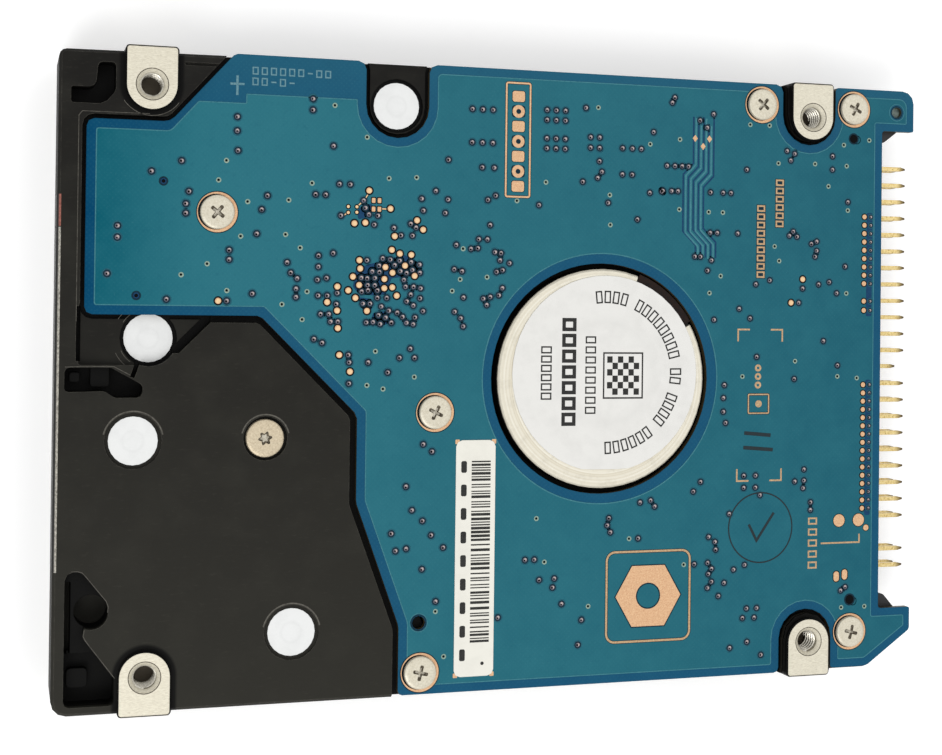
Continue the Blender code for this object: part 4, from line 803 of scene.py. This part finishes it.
OBLONG_PADS = ((33.3, 53.5), (33.95, 53.5), (33.3, 54.45), (33.95, 54.45))
EDGE_PADS = ((90.1, 11.4), (91.2, 11.6))
DIAMOND_PADS = ((71.3, 62.8), (73.1, 62.8), (72.3, 61.9))
ROUND_PADS = (((90.4, 18.05), 0.75), ((93.0, 18.05), 0.75), ((94.0, 17.1), 0.36))
THIN_TRACES = (
    ((31.5, 53.75), (32.3, 54.5), (32.8, 55.3)),
    ((30.5, 53.05), (29.8, 52.6)),
    ((34.0, 53.55), (35.1, 53.55)),
)


def rows(x0, y0, across, down, pitch_x, pitch_y):
    return [(x0 + i * pitch_x, y0 - j * pitch_y) for j in range(down) for i in range(across)]


VIA_FIELDS = (
    rows(44.4, 64.95, 3, 1, 1.2, 1) + rows(44.4, 61.25, 3, 1, 1.2, 1)
    + rows(53.15, 65.25, 3, 2, 1.1, 1.12) + rows(53.15, 62.05, 3, 2, 1.1, 1.12)
    + rows(58.4, 62.4, 2, 2, 1.1, 1.2)
)
SOLDER_X = 93.45
SOLDER_ROWS = (
    rows(SOLDER_X, 54.3, 1, 9, 0, 1)
    + rows(SOLDER_X, 44.2, 1, 2, 0, 1.1)
    + rows(SOLDER_X, 34.2, 1, 16, 0, 0.985)
)


def make_board_surface():
    """The lacquer over the copper pour, its pale edge, and windows where the laminate is bare."""
    pour, step, bare = Shape(TOP), Shape(TOP), Shape(POUR_Z)
    height = POUR_Z - TOP
    holes = [circle(SPINDLE, MOTOR_OPENING, 96)] + [circle(centre, 0.95, 24) for centre in TOOLING_HOLES]
    pour.slab(fillet(POUR_CORNERS), LIFT, height, holes=holes)
    pour.piece("copper_pour", "pour")
    step.stroke(fillet(shift_out(POUR_CORNERS, -0.06)), 0.12, 0.01, height + 0.003, closed=True)
    step.ring(SPINDLE, MOTOR_OPENING, MOTOR_OPENING + 0.15, 0.01, height + 0.003, 96)
    for centre in TOOLING_HOLES:
        step.ring(centre, 0.95, 1.05, 0.01, height + 0.004, 32)
    step.piece("pour_edge", "halo")
    for radius, corners in BARE_PATCHES:
        bare.slab(fillet([(x, y, radius) for x, y in corners], 30), -0.002, 0.003)
    for y0, y1 in ((42.4, 54.8), (18.6, 34.8)):
        bare.box(93.75, y0, 94.5, y1, -0.002, 0.002, 0.2)
    bare.piece("bare_laminate_windows", "blue")


def make_vias():
    """Plated holes: a dark ring in the lacquer, a land with a painted highlight on one side, and the hole, a
    near-black disc of painted shade, off its middle.
    """
    swells, rims, lands, glints, drilled, small_rings, small_holes = (Shape(POUR_Z) for _ in range(7))
    draw = random.Random(3)
    beside_solder = [(x + 0.85, y) for x, y in SOLDER_ROWS]
    for x, y in (*VIAS, *PACKAGE_VIAS, *VIA_FIELDS, *beside_solder):
        k = 1.0 if x < SOLDER_X else 0.72  # smaller beside the solder rows
        tilt = radians(45 + draw.uniform(-40, 40))
        lit = polar((x, y), 0.07 * k, tilt)
        hole = polar((x, y), draw.uniform(0.02, 0.08) * k, tilt + pi)
        swells.ring((x, y), 0.3 * k, 0.55 * k, -SINK, 0.003, 16)
        rims.ring((x, y), 0.2 * k, 0.42 * k, -SINK, 0.008, 16)
        lands.disc((x, y), 0.25 * k, -SINK, 0.010)
        # painted highlight on the land's lit side
        glints.disc(lit, 0.16 * k, -0.002, 0.012)
        drilled.disc(hole, draw.uniform(0.10, 0.14) * k, 0.0, 0.015, 10)
    for x, y in SMALL_VIAS:
        small_rings.ring((x, y), 0.1, 0.29, -SINK, 0.008, 14)
        small_holes.disc((x - 0.02, y + 0.01), 0.15, -0.002, 0.010, 12)
    swells.piece("via_swells", "swell")
    rims.piece("via_rims", "barrel")
    lands.piece("via_lands", "land")
    glints.piece("via_glints", "glint")
    drilled.piece("via_holes", "void")
    small_rings.piece("test_via_rings", "tint")
    small_holes.piece("test_via_holes", "void")


def make_copper():
    """Bare copper: solder dots, screw lands, test pads and the frames etched in the pour, with painted shadow
    round the dots and pads and beside the screw heads.
    """
    copper, outline, solder, painted_shadow, pale = (Shape(POUR_Z) for _ in range(5))

    def dot(metal, centre, radius, rim):
        # a ring of painted shadow round each copper dot
        painted_shadow.ring(centre, radius - 0.03, radius + rim, -SINK, 0.011, 18)
        metal.disc(centre, radius, -SINK, 0.018, 18)

    for x, y in COPPER_DOTS:
        dot(copper, (x, y), 0.33, 0.17)
        solder.disc((x + 0.02, y - 0.02), 0.24, 0.012, 0.022, 18)
    for centre in SOLDER_ROWS:
        dot(copper, centre, 0.29, 0.13)
    for centre, radius in ROUND_PADS:
        dot(copper, centre, radius, 0.08)
    for centre in SMALL_PADS:
        dot(solder, centre, 0.17, 0.12)
    for centre in OBLONG_PADS:
        painted_shadow.pad(centre, 0.31, 0.38, -SINK, 0.008, 0.15)
        copper.pad(centre, 0.2, 0.27, 0.0, 0.014, 0.1)
    for centre in EDGE_PADS:
        painted_shadow.pad(centre, 0.47, 0.71, -SINK, 0.006, 0.45)
        copper.pad(centre, 0.36, 0.6, 0.0, 0.016, 0.35)
    for x, y in DIAMOND_PADS:
        copper.slab([(x - 0.32, y), (x, y - 0.42), (x + 0.32, y), (x, y + 0.42)], 0.0, 0.014)
    for x, y in BOARD_SCREWS:
        outline.ring((x, y), 1.4, 2.25, -SINK, 0.006, 48)
        copper.ring((x, y), 1.4, 2.15, -SINK, 0.03, 48)
        # painted shadow beside each screw head, offset to the left
        painted_shadow.disc((x - 0.15, y + 0.03), 1.92, -SINK, 0.034, 40)
    for metal, box, width, radius in (  # frames round the column of pads, the hexagon and a legend
        (copper, (48.35, 55.35, 51.15, 68.1), 0.2, 0.2),
        (pale, (60.9, 4.95, 71.15, 15.2), 0.24, 1.0),
        (pale, (78.4, 30.9, 81.0, 33.1), 0.16, 0.1),
    ):
        outline.box_line(*box, width + 0.14, -SINK, 0.005, radius)
        metal.box_line(*box, width, 0.0, 0.013, radius)
    for path in THIN_TRACES:
        outline.stroke(path, 0.3, -SINK, 0.003)
        solder.stroke(path, 0.12, 0.0, 0.006)
    make_generic_marks(copper, outline, pale)
    outline.piece("copper_outlines", "barrel")
    painted_shadow.piece("copper_painted_shadows", "painted_shadow")
    copper.piece("bare_copper", "copper", slot="enamelled_copper")
    solder.piece("solder_dots", "solder", slot="enamelled_copper")
    pale.piece("pale_plating", "pale", slot="enamelled_copper")


def make_generic_marks(copper, outline, pale):
    """Etched marks that say nothing: a column of plain pads, empty boxes, corner marks and a hexagon."""
    height, legend_height = 0.013, 0.012
    pad_step, box_step, small_box_step = 1.68, 0.97, 1.3
    for i in range(7):
        y = 67.2 - i * pad_step
        outline.box(48.98, y - 1.27, 50.57, y + 0.07, 0.0, 0.004, 0.3)
        if i % 2:
            copper.ring((49.78, y - 0.6), 0.28, 0.72, 0.0, height)
        else:
            copper.box(49.05, y - 1.2, 50.5, y, 0.0, height, 0.25)
    for x, y0, count in ((82.2, 58.4, 6), (79.8, 55.3, 9)):
        for i in range(count):
            y = y0 - i * box_step
            outline.box(x - 0.6, y - 0.85, x + 0.6, y + 0.08, 0.0, 0.004)
            pale.blank(x - 0.52, y - 0.77, x + 0.52, y, 0.2, 0.0, legend_height)
    for y in (36.2, 35.2, 34.2):
        pale.ring((79.6, y), 0.16, 0.42, 0.0, legend_height, 20)
    pale.disc((79.7, 32.0), 0.42, 0.0, legend_height, 20)
    for i in range(5):
        y = 18.5 - i * small_box_step
        pale.blank(86.3, y - 0.85, 87.5, y, 0.2, 0.0, legend_height)
    pale.stroke([(88.0, 15.4), (93.1, 15.4), (93.1, 16.4)], 0.2, 0.0, legend_height)
    for y, inward_y in ((40.7, -1.4), (23.0, 1.4)):
        for x, inward_x in ((77.0, 1.5), (82.7, -1.5)):
            pale.stroke([(x + inward_x, y), (x, y), (x, y + inward_y)], 0.2, 0.0, 0.010)
    middle = (66.0, 10.1)
    for shape, reach, hole, top in ((outline, 4.15, 1.35, 0.004), (copper, 4.0, 1.5, height)):
        shape.slab(circle(middle, reach, 6), 0.0, top, holes=[circle(middle, hole, 32)])


def make_print():
    """A pale legend of empty boxes, dashes and a cross, and the traces of a bus between two packages."""
    draw = random.Random(5)
    marks, bus, gaps = Shape(TOP), Shape(POUR_Z), Shape(POUR_Z)
    dash_share, step = 0.25, 0.98
    for y, count in ((67.9, 9), (66.75, 5)):
        for i in range(count):
            x = 20.0 + i * step
            if draw.random() < dash_share:
                marks.stroke([(x, y), (x + 0.55, y)], 0.16, LIFT, 0.012)
            else:
                marks.blank(x - 0.07, y - 0.42, x + 0.6, y + 0.42, 0.15, LIFT, 0.012)
    marks.stroke([(18.35, 65.2), (18.35, 67.3)], 0.26, LIFT, 0.012)
    marks.stroke([(17.6, 66.4), (19.1, 66.4)], 0.24, 0.005, 0.013)
    marks.piece("board_legend", "print")
    for i in range(5):  # five gaps with four traces between them
        x = 71.1 + i * 0.64
        path = [(x, 65.3 - (i % 2) * 0.8), (x, 59.9 - i * 0.36), (x - 1.25, 58.6 - i * 0.36),
                (x - 1.25, 52.0 + i * 0.1), (x + 0.35, 50.4 + i * 0.1), (x + 0.35, 49.0)]
        gaps.stroke(path, 0.2, -0.003, 0.003)
        if i < 4:
            bus.stroke([(px + 0.32, py - 0.15) for px, py in path], 0.22, -0.003, 0.005)
    gaps.piece("bus_gaps", "blue")
    bus.piece("bus_traces", "halo")


def make_board_ink():
    """Hand marks: a double stroke and an inspection ring with a tick."""
    ink = Shape(POUR_Z + 0.012)
    thick = 0.006
    ink.stroke([(77.9, 28.6), (81.3, 28.3)], 0.42, 0.0, thick)
    ink.stroke([(77.8, 26.9), (81.6, 26.6)], 0.42, 0.0, thick)
    ink.ring((80.1, 17.5), 4.0, 4.16, 0.0, thick, 64)
    ink.stroke([(78.6, 17.9), (79.6, 16.0), (81.8, 19.2)], 0.3, 0.0, thick)
    ink.piece("inspection_marks", "marker")


def make_board_holes():
    """Dark barrels that show the holes through the board, with plated rims, and near-black discs of painted
    shade inside the smaller holes.
    """
    voids, rims, lacquered, plug = Shape(POUR_Z), Shape(POUR_Z), Shape(POUR_Z), Shape(TOP)
    through = (*zip(TOOLING_HOLES, (0.75, 0.65)), ((92.3, 63.5), 0.4), ((92.3, 8.4), 0.4))
    for centre, radius in through:
        rims.ring(centre, radius + 0.01, radius + 0.17, TOP - POUR_Z - 0.3, 0.0, 32)
    for centre, radius in (((91.9, 63.6), 0.5), ((91.9, 8.6), 0.55)):
        rims.ring(centre, radius, radius + 0.18, -0.003, 0.006, 28)
        voids.disc(centre, radius, -0.003, 0.007, 24)
    for centre in ((10.75, 55.8), (8.1, 43.75)):
        rims.ring(centre, 0.32, 0.5, -0.003, 0.006, 28)
        lacquered.disc(centre, 0.32, -0.003, 0.004, 24)
        voids.disc(centre, 0.2, -0.003, 0.008, 20)
    plug.disc(TOOLING_HOLES[1], 0.64, -0.8, -0.35, 28)
    lacquered.piece("lacquered_dots", "blue")
    plug.piece("corner_hole_plug", "plug", slot="black_plastic")
    rims.piece("tooling_hole_rims", "barrel")
    voids.piece("tooling_holes", "void")


# ------------------------------------------------------------------ screws
def cross_outline(half_width, reach, turn):
    """A counter-clockwise cross with chamfered arm ends."""
    outline = []
    for arm in range(4):
        angle = turn + arm * pi / 2
        along, across = Vector((cos(angle), sin(angle))), Vector((-sin(angle), cos(angle)))
        for out, side in ((half_width, -1), (reach - 0.1, -1), (reach, -0.5), (reach, 0.5), (reach - 0.1, 1)):
            outline.append(along * out + across * side * half_width)
    return outline


def star_outline(outer, inner, turn, points=6, steps=6):
    """A counter-clockwise star with rounded lobes, each drawn in a number of steps."""
    middle, swing = (outer + inner) / 2, (outer - inner) / 2
    return [
        Vector(polar((0, 0), middle + swing * cos(2 * pi * i / steps), turn + 2 * pi * i / steps / points))
        for i in range(points * steps)
    ]


def make_screw(node, centre, low, radius, shank, outline, look="nickel", up=1):
    """A domed screw head with a real recess, in place of a CAD screw.

    low is the head's inner face and shank the shank's radius; up is -1 for a screw in the cover.
    """
    foot, top = (corner[2] for corner in drawn_box(node)[::up])
    cx, cy = centre
    head, recess = Shape(), Shape()
    crown = radius - 0.4  # where the dome turns flat

    def ring(size, z):
        return [(x, y, z) for x, y in circle(centre, size, 64)][::up]

    profile = ((shank, foot), (shank, low), (radius, low), (radius, top - up * 0.22),
               (radius - 0.07, top - up * 0.09), (radius - 0.22, top - up * 0.015), (crown, top))
    head.loft([ring(size, z) for size, z in profile], caps=(True, False))
    hole = [(cx + p.x, cy + p.y) for p in outline][::up]
    rim = [(x, y) for x, y, _ in ring(crown, top)]
    head.add([(x, y, top) for x, y in rim + hole], [tri[::up] for tri in filled([rim, hole])])
    floor = top - up * 0.38  # of the recess, which narrows to 0.62 of its width
    narrow = [(cx + (x - cx) * 0.62, cy + (y - cy) * 0.62, floor) for x, y in hole]
    recess.loft([[(x, y, top) for x, y in hole], narrow], caps=(False, False))
    recess.add(narrow, [list(range(len(narrow)))], slot=1)
    screw = head.piece(f"{node}_head", look, slot="bright_steel", smooth=35)
    # the recess walls take the metal painted dark as shade
    recess.piece(f"{node}_recess", "recess", "slot_floor", slot="bright_steel")
    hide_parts(node)


def make_screws():
    """Cross recesses on the board's screws, and star recesses on the cover's and the pivot's."""
    for i, centre in enumerate(BOARD_SCREWS, 1):
        cross = cross_outline(0.2, 0.86, radians(38 + i * 13 % 40))
        make_screw(f"board_screw_{i}", centre, TOP + 0.06, 1.82, 0.65, cross)
    for i, centre in enumerate(COVER_SCREWS, 1):
        star = star_outline(0.72, 0.46, radians(i * 23))
        make_screw(f"cover_screw_{i}", centre, 0.38, 1.6, 0.8, star, up=-1)
    star = star_outline(0.78, 0.5, radians(10))
    make_screw("pivot_screw", PIVOT, drawn_box("pivot_screw")[1][2] - 0.6, 2.05, 1.0, star, "champagne")


# ------------------------------------------------------------------ labels
def make_barcode():
    """Bars of seeded random widths that encode nothing, beside plain dashes."""
    draw = random.Random(7)
    face = drawn_box("barcode_label")[1][2]
    bars, dashes, corners = Shape(face), Shape(face), Shape(POUR_Z)
    first, last, dash_step = 25.9, 5.8, 2.6
    y = first
    while y > last:
        width = draw.choice((0.13, 0.13, 0.16, 0.26, 0.3))
        bars.box(44.75, y - width, 46.95, y, 0.0, 0.008)
        y -= width + draw.choice((0.13, 0.15, 0.2, 0.34))
    for i in range(9):
        y = first - i * dash_step
        dashes.box(43.55, y - 1.3, 44.2, y, 0.0, 0.008, 0.2)
    dashes.disc((46.2, 3.45), 0.2, 0.0, 0.01, 16)
    for y in (28.03, 2.22):
        for x in (43.12, 47.33):
            corners.pad((x, y), 0.25, 0.25, 0.0, 0.008, 0.08)
    bars.piece("label_bars", "ink", slot="label_paper")
    dashes.piece("label_dashes", "ink", slot="label_paper")
    corners.piece("label_corner_marks", "copper", slot="enamelled_copper")


def radial_box(centre, r0, r1, angle, half):
    """The corners of a small box that points out from centre; half is half its width."""
    along = Vector((cos(angle), sin(angle)))
    across = Vector((-along.y, along.x)) * half
    near, far = Vector(centre) + along * r0, Vector(centre) + along * r1
    return [near - across, far - across, far + across, near + across]


def make_motor_label_marks():
    """Empty boxes in place of lettering: an arc of them, three columns, and a plain lattice in a frame."""
    (x0, y0, _), (x1, y1, face) = drawn_box("motor_label")
    middle = ((x0 + x1) / 2, (y0 + y1) / 2)
    ink = Shape(face)
    z = (0.0, 0.006)
    angle = radians(96)
    for marks in (4, 8, 2, 4, 6):
        for _ in range(marks):
            ink.stroke(radial_box(middle, 7.95, 9.2, angle, 0.31), 0.17, *z, closed=True)
            angle -= radians(6.9)
        angle -= radians(6.3)
    for x, first, count, pitch, half, height, width in (
        (56.0, 41.85, 7, 1.78, 0.85, 1.5, 0.42),
        (58.6, 39.8, 8, 1.14, 0.64, 0.82, 0.17),
        (53.3, 38.65, 6, 1.04, 0.64, 0.82, 0.17),
    ):
        for i in range(count):
            y = first - i * pitch
            ink.blank(x - half, y - height, x + half, y, width, *z)
    ink.blank(60.1, 32.7, 65.0, 38.0, 0.18, *z)
    wide, tall = 0.65, 0.73
    for i in range(6):
        for j in range(6):
            if (i + j) % 2:
                x, y = 60.6 + i * wide, 33.15 + j * tall
                ink.box(x, y, x + wide, y + tall, *z)
    ink.piece("motor_label_marks", "ink", slot="label_paper")


def make_cover_label_marks():
    """A plain layout on the cover's label: a frame, a block, dashes and bars that encode nothing."""
    draw = random.Random(11)
    (x0, y0, face), (x1, y1, _) = drawn_box("cover_label")
    ink, soft = Shape(face), Shape(face)
    z = (-0.006, 0.002)
    ink.box_line(x0 + 2, y0 + 2, x1 - 2, y1 - 2, 0.35, *z)
    ink.box(x0 + 5, y1 - 12, x0 + 27, y1 - 6, *z, 1.0)
    ink.stroke([(x0 + 2, y1 - 15.5), (x1 - 2, y1 - 15.5)], 0.3, *z)
    row_step, dash_step = 2.6, 1.9
    for row in range(8):
        y = y1 - 19 - row * row_step
        for i in range(int(draw.uniform(16, 30) / dash_step)):
            x = x0 + 5 + i * dash_step
            soft.box(x, y - 1.1, x + draw.choice((0.9, 1.3, 1.5)), y, *z, 0.2)
    x = x0 + 41
    while x < x1 - 7:
        width = draw.choice((0.25, 0.25, 0.4, 0.6))
        ink.box(x, y0 + 6, x + width, y0 + 14, *z)
        x += width + draw.choice((0.25, 0.35, 0.6))
    soft.box_line(x1 - 22, y1 - 34, x1 - 6, y1 - 19, 0.3, *z)
    soft.ring((x1 - 14, y1 - 26.5), 4.4, 5.2, *z, 48)
    ink.piece("cover_label_marks", "ink", slot="label_paper")
    soft.piece("cover_label_dashes", "faint_ink", slot="label_paper")


# ------------------------------------------------------------------ casting details
def thread(shape, start, end, place, steps=20, wire=0.16):
    """A helical thread ridge; place turns (x, y, depth) on the hole's own axes into drawing coordinates."""
    outer = THREAD_RADIUS + 0.02
    rings = []
    for i in range(int((end - start) / THREAD_PITCH * steps) + 1):
        angle = 2 * pi * i / steps
        z = start + THREAD_PITCH * i / steps
        corners = ((outer, z - wire), (THREAD_RADIUS - wire, z), (outer, z + wire * 0.6))
        rings.append([place(r * cos(angle), r * sin(angle), depth) for r, depth in corners])
    shape.loft(rings)


def make_threads():
    """Threads in the four mounting holes under the board side and the four in the long sides."""
    cut = Shape()
    for px, py in PADS:
        thread(cut, 6.1, PAD_Z - 0.5, lambda x, y, depth, px=px, py=py: (px + x, py + y, depth))
    for px, py in PADS:
        ends = (0.35, 2.2) if py < WIDTH / 2 else (WIDTH - 2.2, WIDTH - 0.35)
        thread(cut, *ends, lambda x, y, depth, px=px: (px + x, depth, SIDE_THREAD_Z + y))
    cut.piece("mount_threads", "thread", slot="machined_alloy", smooth=40)


POCKET_EDGES = (  # edges of the closed end's pockets and ledges, where painted highlights run
    [(1.9, 15.24), (2.55, 15.24), (3.0, 15.1), (3.35, 14.72), (5.45, 12.08), (5.68, 11.5), (5.6, 10.9)],
    [(3.3, 9.2), (3.2, 8.55), (3.4, 8.1), (6.42, 4.05)],
    [(1.0, 36.3), (2.3, 36.35), (5.9, 36.35), (7.6, 35.45)],
    [(2.05, 41.0), (2.05, 62.3), (2.4, 62.75), (9.2, 62.75)],
)


def make_casting_marks():
    """Thin raised lips of the casting around its recesses, coloured brighter than the coat as painted
    highlights.
    """
    lips = Shape(RIM_Z)
    for centre, radius in (((7.95, 28.6), 3.1), ((24.8, 7.95), 3.1), (PIVOT, 2.55)):
        lips.arc(centre, radius, range(12, 172, 5), 0.16, -0.05, 0.015)
    for path in POCKET_EDGES:
        lips.stroke(path, 0.07, -0.04, 0.012)
    drop = RECESS_Z - RIM_Z
    for radius in (3.1, 3.7):
        for degrees in (range(128, 152, 4), range(205, 236, 4)):
            lips.arc((9.45, 39.3), radius, degrees, 0.07, drop, drop + 0.065)
    x, y = PADS[1]
    lips.arc((x, y + 0.25), 3.45, range(215, 326, 5), 0.08, -0.05, 0.012)
    lips.piece("recess_highlight_lips", "lip", slot="black_coat")


def make_end_label():
    """A thin tape on the closed-end face whose silvery edge laps over the casting's chamfer."""
    foot = 2.6
    outer = ((-0.05, foot), (-0.05, 8.56), (0.28, 8.93), (0.4, 8.93))  # (x, z) up the face and over
    inner = ((0.4, 8.905), (0.3, 8.905), (0.0, 8.58), (0.0, foot))
    for name, look, places in (
        ("end_label", "tape", (15.2, 30.0, 45.0, 50.7)),
        ("end_label_stripe", "red_tape", (50.8, 52.5, 54.1)),
    ):
        tape = Shape()
        tape.loft([[(x, y, z) for x, z in outer + inner] for y in places])
        tape.piece(name, look, slot="label_paper")


# ------------------------------------------------------------------ inside
def bezier(points, steps):
    """Points along the cubic curve that four control points give."""
    found = []
    for i in range(steps + 1):
        t = i / steps
        weights = ((1 - t) ** 3, 3 * t * (1 - t) ** 2, 3 * t * t * (1 - t), t**3)
        found.append(tuple(sum(w * p[k] for w, p in zip(weights, points)) for k in (0, 1)))
    return found


def make_flex_cable():
    """The flexible circuit between the bracket and the arm, drawn with the arm at rest."""
    (_, _, z0), (_, _, z1) = drawn_box("flex_cable")
    start = (14.9, 45.0)
    heading = radians(69.9)  # along the arm's side at rest
    along, beside = 3.6, 4.4  # the ribbon's end on the arm, from the pivot
    end = (PIVOT[0] + along * cos(heading) - beside * sin(heading),
           PIVOT[1] + along * sin(heading) + beside * cos(heading))
    film = Shape()
    film.stroke(bezier((start, (12.0, 38.5), (13.4, 33.2), end), 40), 0.1, z0, z1)
    cable = film.piece("flex_circuit", "film", body=None, slot="amber_film")
    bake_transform(cable)
    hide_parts("flex_cable")


# ------------------------------------------------------------------ studio
SKY_LOW, SKY_HIGH = 0.30, 0.92  # the world's strength at the horizon and overhead
LAMPS = (  # name, place, size and power
    ("key", (-0.22, -0.38, 0.55), 0.40, 1.45),
    ("fill", (0.35, 0.30, 0.60), 0.50, 0.3),
)
CAMERA_PLACE = (-0.05491, 0.00791, 0.17898)
CAMERA_TURN = (0.3448, -16.8606, 0.6850)
CAMERA = {"lens": 61.14, "sensor_width": 36.0, "shift_x": -0.02084, "shift_y": -0.08956, "clip_start": 0.01}


def make_world(scene):
    world = bpy.data.worlds.new("studio")
    world.use_nodes = True
    nodes, links = world.node_tree.nodes, world.node_tree.links
    height = nodes.new("ShaderNodeSeparateXYZ")
    links.new(nodes.new("ShaderNodeTexCoord").outputs["Generated"], height.inputs[0])
    fade = nodes.new("ShaderNodeMapRange")  # brightest overhead, dimmer at the horizon
    links.new(height.outputs["Z"], fade.inputs["Value"])
    for socket, number in (("From Min", 0.0), ("From Max", 0.75), ("To Min", SKY_LOW), ("To Max", SKY_HIGH)):
        fade.inputs[socket].default_value = number
    nodes["Background"].inputs["Color"].default_value = (*WHITE, 1)
    links.new(fade.outputs[0], nodes["Background"].inputs["Strength"])
    scene.world = world


def make_floor(scene):
    half = 6.0
    z = CAD_BOX[0][2] - 0.0005
    mesh = bpy.data.meshes.new("floor")
    corners = [(-half, -half, z), (half, -half, z), (half, half, z), (-half, half, z)]
    mesh.from_pydata(corners, [], [(0, 1, 2, 3)])
    pale = Surface("floor_white", WHITE, 0.9, 0.0, 0.0)
    pale.put("Base Color", pale.mix(pale.span(pale.noise(0.01), 0.3, 0.7), (0.94, 0.94, 0.94), WHITE))
    pale.put("Emission Color", WHITE)
    pale.put("Emission Strength", 0.2)
    mesh.materials.append(pale.material)
    floor = bpy.data.objects.new("floor", mesh)
    scene.collection.objects.link(floor)


def make_studio():
    """A pale floor, soft light from above, and the camera where the photograph was taken from."""
    scene = bpy.context.scene
    scene.view_settings.view_transform = "Standard"
    make_world(scene)
    make_floor(scene)
    for name, place, size, power in LAMPS:
        light = bpy.data.lights.new(name, "AREA")
        light.shape = "DISK"
        light.size = size
        light.energy = power
        lamp = bpy.data.objects.new(name, light)
        lamp.location = place
        lamp.rotation_euler = (-Vector(place)).to_track_quat("-Z", "Y").to_euler()
        scene.collection.objects.link(lamp)
    camera = bpy.data.cameras.new("camera")
    for name, value in CAMERA.items():
        setattr(camera, name, value)
    eye = bpy.data.objects.new("camera", camera)
    eye.location = CAMERA_PLACE
    eye.rotation_euler = Euler([radians(a) for a in CAMERA_TURN])
    scene.collection.objects.link(eye)
    scene.camera = eye


make_board_surface()
make_vias()
make_copper()
make_print()
make_board_ink()
make_board_holes()
make_screws()
make_barcode()
make_motor_label_marks()
make_cover_label_marks()
make_threads()
make_casting_marks()
make_end_label()
make_flex_cable()
make_studio()
